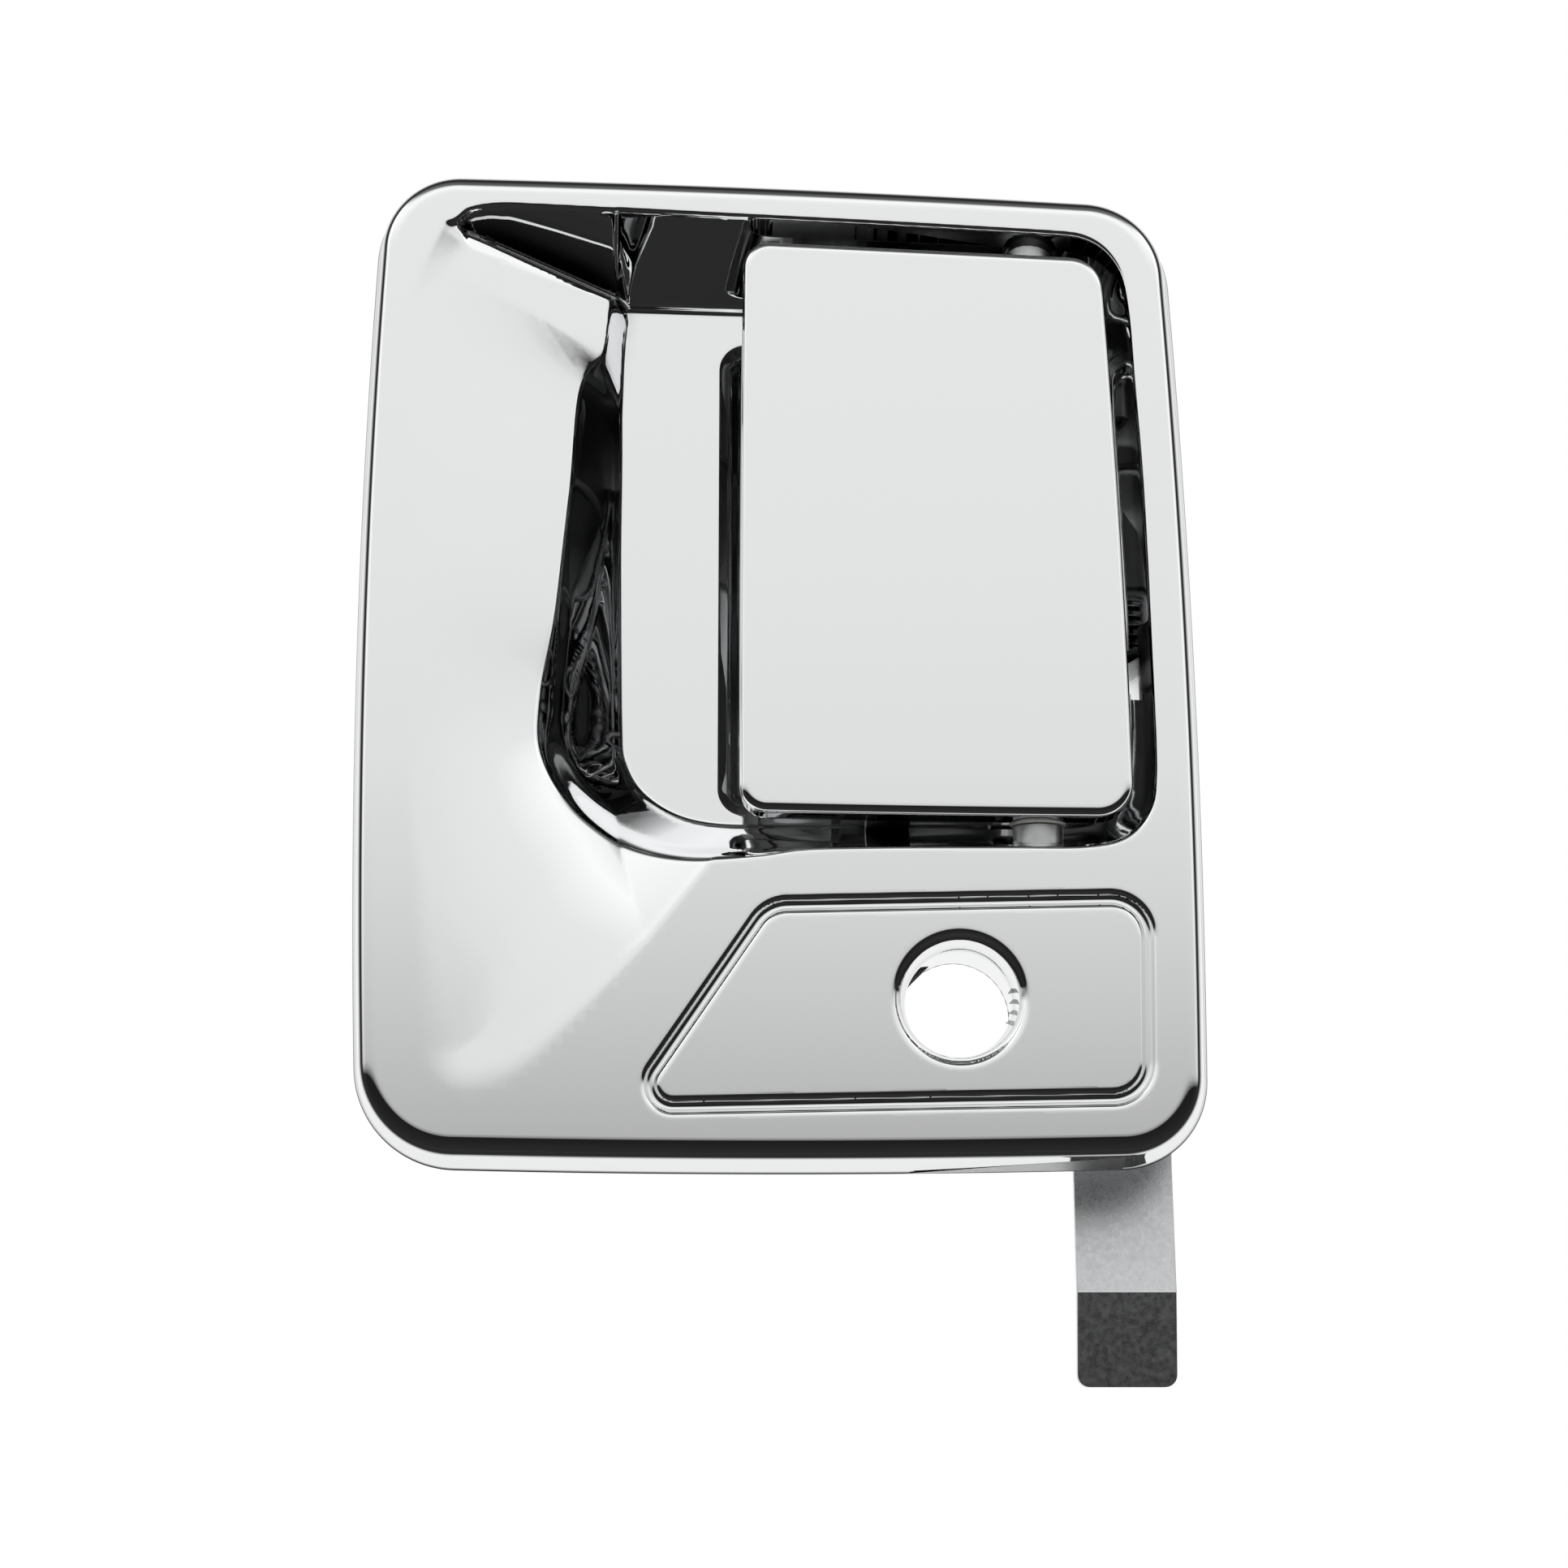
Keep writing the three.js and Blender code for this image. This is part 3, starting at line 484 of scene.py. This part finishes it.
def bezel_relief():
    """Depth behind the crowned front plane, over the grid."""
    x, z = GRID_X[:, None], GRID_Z[None, :]
    pocket_edge = distance_inside(even(spline(POCKET)))
    floor_edge = distance_inside(even(spline(POCKET_FLOOR)))
    ceiling_loop = np.vstack([spline_open(CEILING), [(120, -60), (-100, -60)]])
    ceiling_edge = distance_inside(ceiling_loop[::-1])

    # the gentle scoop on the left, which deepens upwards along the pocket's edge
    arc_edge = distance_inside(arc_loop([(*c, r, 0) for c, r in zip(SCOOP, SCOOP_RADII)]))
    diagonal_edge = beyond_line(*FALL_LINE)
    arc_run = np.clip(arc_edge, 0, None)
    arc_run = arc_run ** 2 / (arc_run + np.interp(GRID_Z, [10, 70, 110, 150], [4, 12, 14, 9])[None, :])
    run = rise(smin(arc_run, diagonal_edge, 7), 1.2)
    edge_depth = np.interp(GRID_Z, [15, 40, 60, 80, 100, 125, 147, 165],
                           [3.8, 5.0, 6.6, 8.4, 9.7, 11.2, 12.6, 13.6])[None, :]
    edge_depth = blur(np.broadcast_to(edge_depth, (3, len(GRID_Z))).copy(), 5.0)[1][None, :]
    reach = np.maximum(-pocket_edge, -7)
    scoop = edge_depth * np.minimum(run / np.maximum(run + reach, 16.0), 1.4)

    # a flat facet leads from the scoop's upper end to the shelf
    facet_side = beyond_line(*FACET_LOWER)
    left = scoop + 0.03 * rise(np.where(x < -27, facet_side, 0), 0.8)
    left = left + 0.045 * (thin_line(*FACET_LOWER) + thin_line(*FACET_UPPER))

    # the scoop's upper edge rolls over into the recess under the ceiling
    band = np.interp(GRID_X, [-62, -57, -32], [1.6, 2.4, 1.0])[:, None]
    over = beyond_line(*CREST) + band
    roll = 0.2 * rise(over, 0.7) + 3.0 * rise(over - band, 0.8)
    left = left + np.where(x < -27, roll, 0) * smooth((x + 63.5) / 2.5)
    # the scoop dies out at the ceiling's pointed end
    tip = beyond_line(*CEILING_END)
    left = left * np.maximum(smooth(tip / 9), smooth((x + 62) / 4))

    # the pocket's ceiling, which runs on over the scoop to a sharp corner
    ceiling = ceiling_edge * (FLOOR / np.interp(GRID_X, [-60, -30, 55], [10.5, 10.8, 8.6]))[:, None]
    base = smin(rise(left - 0.3, 0.6), rise(ceiling, 0.8), 1.2)
    fall = share(pocket_edge, floor_edge)
    lip = 0.05 + 0.33 * smooth((122 - z) / 40) * smooth((12 - x) / 26)
    fall = 1 - rise(1 - rise(fall - 0.03, lip), 0.14)
    depth = base + (FLOOR - base) * fall
    depth = smin(depth, rise(ceiling, 1.6), 1.5)
    depth = np.clip(depth, 0, FLOOR)

    well = distance_inside(arc_loop(WELL))
    depth = depth + np.minimum(0.3 * rise(well, 0.4) + 2.7 * rise(well - 2.3, 0.3), 5.0)

    groove = distance_inside(arc_loop(LOCK_GROOVE))
    depth = depth + 1.25 * smooth(groove / 0.9) - 1.1 * smooth((groove - 1.9) / 0.9)
    hole = 11.3 - np.hypot(x - LOCK[0], z - LOCK[1])
    depth = depth + np.where(hole > -1.0, 1.0 - np.sqrt(np.clip(1 - (hole + 1) ** 2, 0, 1)), 0)
    return blur(depth, 0.3)


# ---------------------------------------------------------------- meshes
def piece_from(name, vertices, faces, material, normals=None, body="housing"):
    mesh = bpy.data.meshes.new(name)
    mesh.from_pydata((np.asarray(vertices, float) * MM).tolist(), [], faces)
    mesh.polygons.foreach_set("use_smooth", [True] * len(mesh.polygons))
    mesh.materials.append(material)
    if normals is not None:
        mesh.normals_split_custom_set_from_vertices(np.asarray(normals, float).tolist())
    mesh.update()
    piece = bpy.data.objects.new(name, mesh)
    bpy.context.collection.objects.link(piece)
    if body:
        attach(piece, body)
    return piece


def ring_faces(rows, count, first=0, flip=False):
    """Quads between successive closed rings of count vertices."""
    faces = []
    for r in range(rows - 1):
        a = first + r * count
        for i in range(count):
            j = (i + 1) % count
            quad = (a + i, a + j, a + count + j, a + count + i)
            faces.append(quad[::-1] if flip else quad)
    return faces


def grid_normals(rings):
    """Normals of a (rows, count, 3) sheet of closed rings, by central differences."""
    along = np.roll(rings, -1, 1) - np.roll(rings, 1, 1)
    across = np.gradient(rings, axis=0)
    normal = np.cross(along, across)
    return normal / np.maximum(np.linalg.norm(normal, axis=2, keepdims=True), 1e-12)


def sample(field, x, z):
    """The grid field at scattered places, by bilinear interpolation."""
    u = np.clip((x - GRID_X[0]) / SPACING, 0, len(GRID_X) - 1.001)
    v = np.clip((z - GRID_Z[0]) / SPACING, 0, len(GRID_Z) - 1.001)
    i, j = u.astype(int), v.astype(int)
    s, t = u - i, v - j
    return ((field[i, j] * (1 - s) + field[i + 1, j] * s) * (1 - t)
            + (field[i, j + 1] * (1 - s) + field[i + 1, j + 1] * s) * t)


SIDE_FLARE, EDGE_RADIUS, SEAM = 1.7, 3.4, 5.6


def edge_profile():
    """(inset, y) from the side wall's rear edge, over the rounding, to the seam with the relief."""
    profile = [(0.0, REAR_Y), (0.35, REAR_Y - 0.5)]
    for s in np.linspace(0.08, 1, 5):
        profile.append((0.35 + (SIDE_FLARE - 0.35) * s,
                        REAR_Y - 0.5 + (FRONT_Y + EDGE_RADIUS - REAR_Y + 0.5) * s))
    for a in np.radians(np.linspace(8, 90, 12)):
        profile.append((SIDE_FLARE + EDGE_RADIUS * (1 - math.cos(a)),
                        FRONT_Y + EDGE_RADIUS * (1 - math.sin(a))))
    profile.append((SEAM, FRONT_Y))
    return profile


def bezel_edge():
    """Rings round the bezel's outer edge, and their normals."""
    outline = resample(arc_loop(BEZEL, 60, 60), 560)
    inward = soften(loop_normals(soften(outline, 6)), 6)
    inward /= np.hypot(*inward.T)[:, None]
    rings = []
    for inset, y in edge_profile():
        p = outline + inward * inset
        lift = (REAR_Y - y) / (REAR_Y - FRONT_Y) * crown(p[:, 0], p[:, 1])
        rings.append(np.column_stack([p[:, 0], y + lift, p[:, 1]]))
    rings = np.array(rings)
    return rings, grid_normals(rings)


CHORD_ERROR = 0.018
TURN_PER_EDGE = 0.03
SEAM_CLEARANCE = 0.25
HOLE_CLEARANCE = 0.2


def needed_points(depth, inside):
    """Grid points, close together where the relief bends and wide apart where it is flat."""
    bend = np.zeros_like(depth)
    for axis in (0, 1):
        slope = np.gradient(depth, SPACING, axis=axis)
        bend = np.maximum(bend, np.abs(np.gradient(slope, SPACING, axis=axis)))
    steepness = sum(slope ** 2 for slope in np.gradient(depth, SPACING))
    bend = np.maximum(bend / (1 + steepness), 1e-4)
    wanted = np.minimum(np.sqrt(8 * CHORD_ERROR / bend), TURN_PER_EDGE / bend)
    for _ in range(4):
        near = wanted + SPACING * 0.9
        for axis in (0, 1):
            for shift in (-1, 1):
                wanted = np.minimum(wanted, np.roll(near, shift, axis))
    keep = np.zeros(depth.shape, bool)
    for step, limit in ((1, 0.27), (2, 0.7), (4, 1.6), (8, np.inf)):
        lattice = np.zeros_like(keep)
        lattice[::step, ::step] = True
        keep |= lattice & (wanted < limit)
    return keep & inside


def front_level(depth):
    """Y of the crowned front over the grid; the crown fades out towards the pocket's floor."""
    return FRONT_Y + depth + crown(GRID_X[:, None], GRID_Z[None, :]) * (1 - np.clip(depth / FLOOR, 0, 1))


def bezel_front(depth):
    """Vertices, faces and normals of the relief, the bezel's outer edge and the lock sleeve."""
    rings, ring_normals = bezel_edge()
    seam = rings[-1][:, [0, 2]]
    hole = np.array([(LOCK[0] + LOCK_MOUTH * math.cos(a), LOCK[1] + LOCK_MOUTH * math.sin(a))
                     for a in np.linspace(0, 2 * math.pi, 160, endpoint=False)])
    (left, low), (right, high) = TONGUE_SLOT
    slot = np.array([(left, low), (right, low), (right, high), (left, high)])
    slot = np.vstack([np.linspace(a, b, 16, endpoint=False) for a, b in zip(slot, np.roll(slot, -1, 0))])
    inside = distance_inside(seam[::3]) > SEAM_CLEARANCE
    inside &= distance_inside(hole) < -HOLE_CLEARANCE
    inside &= distance_inside(slot) < -HOLE_CLEARANCE
    keep = needed_points(depth, inside)
    i, j = np.nonzero(keep)
    loops = [seam, hole, slot]
    points = [np.column_stack([GRID_X[i], GRID_Z[j]]), *loops]
    edges = []
    first = len(i)
    for loop in loops:
        edges += [(first + k, first + (k + 1) % len(loop)) for k in range(len(loop))]
        first += len(loop)
    flat = np.vstack(points)
    out = delaunay_2d_cdt([Vector(p) for p in flat.tolist()], edges, [], 0, 1e-5, False)
    plan = np.array([tuple(v) for v in out[0]])
    faces = np.array([f for f in out[2] if len(f) == 3])
    middle = plan[faces].mean(1)
    in_hole = np.hypot(middle[:, 0] - LOCK[0], middle[:, 1] - LOCK[1]) < LOCK_MOUTH - 0.05
    in_slot = np.all((middle > TONGUE_SLOT[0]) & (middle < TONGUE_SLOT[1]), axis=1)
    faces = faces[~(in_hole | in_slot)]
    x, z = plan.T
    raised = 1 - np.clip(sample(depth, x, z) / FLOOR, 0, 1)
    y = FRONT_Y + sample(depth, x, z) + crown(x, z) * raised
    full = front_level(depth)
    fx = sample(np.gradient(full, SPACING, axis=0), x, z)
    fz = sample(np.gradient(full, SPACING, axis=1), x, z)
    normals = np.column_stack([fx, -np.ones_like(fx), fz])
    normals /= np.linalg.norm(normals, axis=1)[:, None]
    front = np.column_stack([x, y, z])
    a, b, c = (plan[faces[:, k]] for k in range(3))
    turn = (b[:, 0] - a[:, 0]) * (c[:, 1] - a[:, 1]) - (b[:, 1] - a[:, 1]) * (c[:, 0] - a[:, 0])
    faces = np.where((turn > 0)[:, None], faces, faces[:, ::-1])

    # the sleeve of the lock hole, from the relief's hole edge to its rear end
    angles = np.linspace(0, 2 * math.pi, 160, endpoint=False)
    sleeve = []
    for radius, level in [(LOCK_MOUTH, None), *LOCK_SLEEVE]:
        px, pz = LOCK[0] + radius * np.cos(angles), LOCK[1] + radius * np.sin(angles)
        if level is None:
            level = FRONT_Y + sample(depth, px, pz) + crown(px, pz)
        sleeve.append(np.column_stack([px, np.broadcast_to(level, px.shape), pz]))
    sleeve = np.array(sleeve)

    vertices = [front, rings.reshape(-1, 3), sleeve.reshape(-1, 3)]
    edge_first = len(front)
    sleeve_first = edge_first + rings.shape[0] * rings.shape[1]
    all_faces = [tuple(f) for f in faces.tolist()]
    all_faces += ring_faces(rings.shape[0], rings.shape[1], edge_first)
    all_faces += ring_faces(sleeve.shape[0], sleeve.shape[1], sleeve_first, flip=True)
    all_normals = np.vstack([normals, ring_normals.reshape(-1, 3), -grid_normals(sleeve).reshape(-1, 3)])
    return np.vstack(vertices), all_faces, all_normals


LONGEST_EDGE = 3 * MM


def back_of(node, name, doomed, body="housing", fit=None):
    """A CAD node without the faces its visible front replaces, with crisp edges, as a piece of its own."""
    mesh = NODES[node].data.copy()
    mesh.name = name
    shape = bmesh.new()
    shape.from_mesh(mesh)
    shape.normal_update()
    bmesh.ops.delete(shape, geom=[f for f in shape.faces if doomed(f)], context="FACES")
    bmesh.ops.remove_doubles(shape, verts=shape.verts, dist=1e-6)
    if fit:
        for _ in range(5):
            wide = [e for e in shape.edges if e.calc_length() > LONGEST_EDGE]
            bmesh.ops.subdivide_edges(shape, edges=wide, cuts=1)
            bmesh.ops.triangulate(shape, faces=shape.faces)
        moved = [v for v in shape.verts if fit(v)]
        for _ in range(4):
            bmesh.ops.smooth_vert(shape, verts=moved, factor=0.5, use_axis_y=True)
            for v in moved:
                fit(v)
    for f in shape.faces:
        f.smooth = True
    shape.to_mesh(mesh)
    shape.free()
    mesh.set_sharp_from_angle(angle=math.radians(24))
    mesh.materials.clear()
    mesh.materials.append(MATERIALS["cast_back"])
    piece = bpy.data.objects.new(name, mesh)
    bpy.context.collection.objects.link(piece)
    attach(piece, body)
    return piece


HINGE_BOSS, BUSHES_FROM, BUSHES_TO = 5.1, 61, 167.4
CAD_SLEEVE, CAD_SLEEVE_END = 11.5, 13.9
BEHIND_FRONT = 0.45


def stands_in_pocket(p):
    """Whether a place in millimetres belongs to a hinge boss or a bump stop's ledge."""
    by_hinge = (math.hypot(p[0] - HINGE[0], p[1] - HINGE[1]) < HINGE_BOSS
                and not BUSHES_FROM < p[2] < BUSHES_TO)
    on_ledge = 15.5 < p[0] < 24.5 and -2 < p[1] < 17.8 and (62 < p[2] < 68 or 162 < p[2] < 176.5)
    return by_hinge or on_ledge


def make_bezel():
    """The smooth front as a piece of its own, over the CAD's rear faces."""
    depth = bezel_relief()
    vertices, faces, normals = bezel_front(depth)
    front = piece_from("bezel_front", vertices, faces, MATERIALS["bezel_chrome"], normals)
    level = front_level(depth)

    def behind(points):
        return points[:, 1] - sample(level, points[:, 0], points[:, 2])

    def replaced(face):
        points = np.array([v.co for v in face.verts]) / MM
        centre = points.mean(0)
        if stands_in_pocket(centre):
            return False
        if math.hypot(centre[0] - LOCK[0], centre[2] - LOCK[1]) < CAD_SLEEVE and centre[1] < CAD_SLEEVE_END:
            return True
        across = abs(face.normal.y) < 0.3
        by_front = behind(np.vstack([points, centre])).max() < 2 * BEHIND_FRONT
        return face.normal.y < -0.02 or (across and by_front)

    def fit(vertex):
        p = np.array(vertex.co) / MM
        short = 0 if stands_in_pocket(p) else max(BEHIND_FRONT - behind(p[None, :])[0], 0)
        vertex.co.y += short * MM
        return short > 0

    back = back_of("bezel_housing", "bezel_back", replaced, fit=fit)
    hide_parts("bezel_housing")
    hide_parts("bezel_housing")


# ---------------------------------------------------------------- paddle
PADDLE = [(-7.1, 62.2, 5, 0.2), (63.9, 61.2, 6.5, 0.6), (59.9, 167.6, 6.5, 0), (-6.7, 171.0, 5, 0.2)]


def make_paddle():
    """A crowned face with a rounded edge, over the CAD's rear faces."""
    outline = resample(arc_loop(PADDLE, 30, 30), 480)
    inward = soften(loop_normals(soften(outline, 3)), 4)
    inward /= np.hypot(*inward.T)[:, None]
    radius = 1.7
    profile = [(0.25, -5.9), (0.0, -6.2), (0.0, -7.5), (0.0, -9.5)]
    profile += [(radius * (1 - math.cos(a)), FRONT_Y + radius * (1 - math.sin(a)))
                for a in np.radians(np.linspace(0, 90, 10))]
    profile += [(2.2, FRONT_Y), (3.0, FRONT_Y), (4.4, FRONT_Y)]
    rings = []
    for inset, y in profile:
        p = outline + inward * inset
        rings.append(np.column_stack([p[:, 0], np.full(len(p), y), p[:, 1]]))
    middle = np.array([28.0, 115.5])
    last = rings[-1][:, [0, 2]]
    for s in np.linspace(0.06, 0.995, 26):
        p = last + (middle - last) * s
        rings.append(np.column_stack([p[:, 0], np.full(len(p), FRONT_Y), p[:, 1]]))
    rings = np.array(rings)
    share_forward = np.clip((REAR_Y - rings[..., 1]) / (REAR_Y - FRONT_Y), 0, 1)
    rings[..., 1] += share_forward * crown(rings[..., 0], rings[..., 2])
    normals = grid_normals(rings)
    faces = ring_faces(rings.shape[0], rings.shape[1])
    first = (rings.shape[0] - 1) * rings.shape[1]
    faces.append(tuple(range(first, first + rings.shape[1])))
    front = piece_from("paddle_face", rings.reshape(-1, 3), faces, MATERIALS["paddle_chrome"],
                       normals.reshape(-1, 3), body="paddle")
    back = back_of("paddle", "paddle_back",
                   lambda f: f.normal.y < 0.5 and f.calc_center_median().y < -9.8 * MM,
                   body="paddle")
    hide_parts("paddle")
    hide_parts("paddle")


# ---------------------------------------------------------------- turned, coiled and plain pieces
def from_rings(name, node, rings, body, closed_ends=False):
    """A piece through closed rings of points; the last ring joins the first unless the ends are closed."""
    count = rings.shape[1]
    faces = ring_faces(len(rings), count, flip=True)
    if closed_ends:
        faces.append(tuple(range(count)))
        faces.append(tuple(range((len(rings) - 1) * count, len(rings) * count))[::-1])
    else:
        last = (len(rings) - 1) * count
        faces += [((i + 1) % count, i, last + i, last + (i + 1) % count) for i in range(count)]
    slot = SLOTS[node]
    piece = piece_from(name, rings.reshape(-1, 3), faces, MATERIALS[slot], body=body)
    shape = bmesh.new()
    shape.from_mesh(piece.data)
    bmesh.ops.recalc_face_normals(shape, faces=shape.faces)
    shape.to_mesh(piece.data)
    shape.free()
    piece.data.set_sharp_from_angle(angle=math.radians(38))
    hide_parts(node)
    return piece


def turned(name, node, profile, centre, axis, body="housing", facets=56, across_flats=None):
    """Turned from a (radius, height) profile; a step with a third value is cut to a hexagon."""
    angles = np.linspace(0, 2 * math.pi, facets, endpoint=False)
    rings = []
    for step in profile:
        radius = np.full(facets, float(step[0]))
        if len(step) > 2:
            flat = across_flats / 2 / np.cos((angles + math.pi / 6) % (math.pi / 3) - math.pi / 6)
            radius = np.minimum(radius, flat)
        a, b = radius * np.cos(angles), radius * np.sin(angles)
        h = np.full(facets, float(step[1]))
        ring = {"x": (h, centre[1] + a, centre[2] + b), "y": (centre[0] + a, h, centre[2] + b),
                "z": (centre[0] + a, centre[1] + b, h)}[axis]
        rings.append(np.column_stack(ring))
    solid = profile[0][0] < 0.05 and profile[-1][0] < 0.05
    from_rings(name, node, np.array(rings), body, closed_ends=solid)


def rounded_tube(inner, outer, start, end, edge):
    """Profile of a tube whose four edges are rounded."""
    turns = [(outer - edge, start + edge, 270), (outer - edge, end - edge, 0),
             (inner + edge, end - edge, 90), (inner + edge, start + edge, 180)]
    return [(r + edge * math.cos(math.radians(a + s)), h + edge * math.sin(math.radians(a + s)))
            for r, h, a in turns for s in (0, 30, 60, 90)]


def rounded_rod(radius, start, end, edge):
    """Profile of a rod whose two end edges are rounded."""
    arc = [(radius - edge + edge * math.cos(math.radians(a)), edge * math.sin(math.radians(a)))
           for a in (90, 60, 30, 0)]
    near = [(r, start + edge - h) for r, h in arc]
    far = [(r, end - edge + h) for r, h in arc[::-1]]
    return [(0.01, start), *near, *far, (0.01, end)]


def threaded(start, end, crest, root, pitch):
    """Profile of a thread's ridges."""
    profile = []
    for i in range(int((end - start) / pitch)):
        h = start + i * pitch
        profile += [(root, h), (crest, h + 0.4 * pitch), (crest, h + 0.6 * pitch), (root, h + pitch)]
    return profile


def make_fasteners():
    for place, x, z, root in (("upper", -64, 148, -5.9), ("lower", 2, 19, -7.7)):
        centre = (x, 0, z)
        shank = [(0.01, root), (3.0, root), (3.0, 0.9)] + threaded(1.0, 18.0, 3.0, 2.66, 1.0)
        turned(f"{place}_stud_look", f"{place}_stud", shank + [(2.2, 19), (0.01, 19)], centre, "y")
        hexagon = [(3.3, 0.9), (6.7, 0.9), (7, 1.1), (7, 1.5), (6.2, 2.3), (5.7, 2.45), (5.77, 2.6, 1),
                   (5.77, 6.1, 1), (5.1, 6.6, 1), (3.7, 6.6), (3.3, 6.2)]
        turned(f"{place}_nut_look", f"{place}_flange_nut", hexagon, centre, "y", facets=72, across_flats=10)
        seal = rounded_tube(3.3, 7.5, -1.4, 0, 0.3)
        turned(f"{place}_seal_look", f"{place}_stud_seal", seal, centre, "y")
    for place, z in (("lower", 64.9), ("upper", 165.2)):
        stop = [(0.01, -5), (1.0, -4.98), (1.7, -4.75), (2.15, -4.3), (2.4, -3.6), (2.4, -1.8),
                (0.01, -1.8)]
        turned(f"{place}_stop_look", f"{place}_bump_stop", stop, (20, 0, z), "y")
    bumper = rounded_rod(4, 20.7, 23.8, 0.5)
    turned("lever_bumper_look", "lever_stop_bumper", bumper, (57.6, 0, 112), "y")


def make_hinge():
    pin = [(0.01, 49.4), (2, 49.4), (2.5, 49.9), (2.5, 51.2), (1.9, 51.2), (1.9, 52.3), (2.5, 52.3),
           (2.5, 174.6), (2.2, 175), (0.01, 175)]
    turned("hinge_pin_look", "hinge_pin", pin, (*HINGE, 0), "z")
    bushes = (("lower_hinge_bush", (61.9, 76), (61, 61.9)),
              ("upper_hinge_bush", (153, 166.5), (166.5, 167.4)))
    for node, span, flange in bushes:
        low = min(span[0], flange[0])
        high = max(span[1], flange[1])
        outer = [(3.75, span[1]), (3.75, flange[1]), (5, flange[1] - 0.1), (5, flange[0] + 0.15),
                 (4.85, flange[0])]
        if flange[0] >= span[1]:
            outer = [(4.85, flange[1]), (5, flange[1] - 0.15), (5, flange[0] + 0.1), (3.75, flange[0]),
                     (3.75, span[0])]
        turned(node + "_look", node, [(2.78, low), (2.78, high)] + outer, (*HINGE, 0), "z", body="paddle")
    pivot = [(0.01, 38.6), (3.2, 38.6), (3.6, 39), (3.6, 40.9), (2, 40.9), (2, 65.9), (1.5, 65.9),
             (1.5, 67), (2, 67), (2, 68), (1.6, 68.4), (0.01, 68.4)]
    turned("lever_pin_look", "lever_pivot_pin", pivot, (0, *LEVER_PIVOT), "x")
    spacer = rounded_tube(2.3, 3.3, 47.8, 59.2, 0.2)
    turned("spacer_look", "lever_spacer_tube", spacer, (0, *LEVER_PIVOT), "x", body="release_lever")


def coil_path(radius, start, end, turns, start_angle, start_leg, end_leg, steps):
    """A coil about Z with a straight leg at each end."""

    def on_coil(share):
        angle = math.radians(start_angle) + 2 * math.pi * turns * share
        return np.array([radius * math.cos(angle), radius * math.sin(angle), start + (end - start) * share])

    def heading(share):
        step = on_coil(share + 1e-4) - on_coil(share)
        step[2] = 0
        return step / np.linalg.norm(step)

    coil = [on_coil(s) for s in np.linspace(0, 1, steps)]
    first = [coil[0] - heading(0) * start_leg * s for s in np.linspace(1, 0, 6, endpoint=False)]
    last = [coil[-1] + heading(1 - 1e-4) * end_leg * s for s in np.linspace(0, 1, 7)[1:]]
    return np.array(first + coil + last)


WIRE_SIDES = 14


def wire(name, node, path, radius):
    """A round wire along a path, with closed ends, attached to no body."""
    along = np.gradient(path, axis=0)
    along /= np.linalg.norm(along, axis=1)[:, None]
    normal = np.cross(along[0], (0, 0, 1) if abs(along[0][2]) < 0.9 else (1, 0, 0))
    rings = []
    for p, t in zip(path, along):
        normal = normal - t * np.dot(normal, t)
        normal /= np.linalg.norm(normal)
        side = np.cross(t, normal)
        rings.append([p + radius * (math.cos(a) * normal + math.sin(a) * side)
                      for a in np.linspace(0, 2 * math.pi, WIRE_SIDES, endpoint=False)])
    piece = from_rings(name, node, np.array(rings), None, closed_ends=True)
    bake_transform(piece)


def make_springs():
    path = coil_path(4.6, 101, 115, 7.25, 180, 21, 10, 320) + (*HINGE, 0)
    wire("paddle_spring_look", "paddle_return_spring", path, 0.7)
    path = coil_path(4.3, 49.2, 57.6, -5.3, 180, 8, 19.6, 240)
    # the coil's axis turns from Z to X
    path = np.column_stack([path[:, 2], path[:, 1] + LEVER_PIVOT[0], -path[:, 0] + LEVER_PIVOT[1]])
    wire("lever_spring_look", "lever_return_spring", path, 0.6)


def make_gasket():
    outline = resample(arc_loop(BEZEL, 60, 60), 420)
    inward = soften(loop_normals(soften(outline, 4)), 4)
    inward /= np.hypot(*inward.T)[:, None]
    rings = []
    for offset, y in rounded_tube(0.5, 4.0, -1.4, 0, 0.25):
        p = outline + inward * offset
        rings.append(np.column_stack([p[:, 0], np.full(len(p), y), p[:, 1]]))
    from_rings("gasket_look", "perimeter_gasket", np.array(rings), "housing")


def softened(name, node, width, body, crisp=30):
    """A CAD node with its sharp edges broken."""
    mesh = NODES[node].data.copy()
    mesh.name = name
    shape = bmesh.new()
    shape.from_mesh(mesh)
    bmesh.ops.remove_doubles(shape, verts=shape.verts, dist=1e-6)
    bmesh.ops.dissolve_limit(shape, angle_limit=math.radians(1), verts=shape.verts, edges=shape.edges)
    sharp = [e for e in shape.edges if e.is_manifold and e.calc_face_angle(0) > math.radians(32)]
    bmesh.ops.bevel(shape, geom=sharp, offset=width * MM, segments=2, profile=0.6, affect="EDGES",
                    clamp_overlap=True)
    for f in shape.faces:
        f.smooth = True
    shape.to_mesh(mesh)
    shape.free()
    mesh.set_sharp_from_angle(angle=math.radians(crisp))
    slot = SLOTS[node]
    mesh.materials.clear()
    mesh.materials.append(MATERIALS[slot])
    piece = bpy.data.objects.new(name, mesh)
    bpy.context.collection.objects.link(piece)
    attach(piece, body)
    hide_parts(node)


make_bezel()
make_paddle()
make_fasteners()
make_hinge()
make_springs()
make_gasket()
softened("release_lever_look", "release_lever", 0.22, "release_lever", crisp=7)
softened("hinge_clip_look", "hinge_pin_clip", 0.1, "housing")
softened("lever_clip_look", "lever_pivot_clip", 0.1, "housing")
softened("lock_clip_look", "lock_retainer_clip", 0.15, "housing")
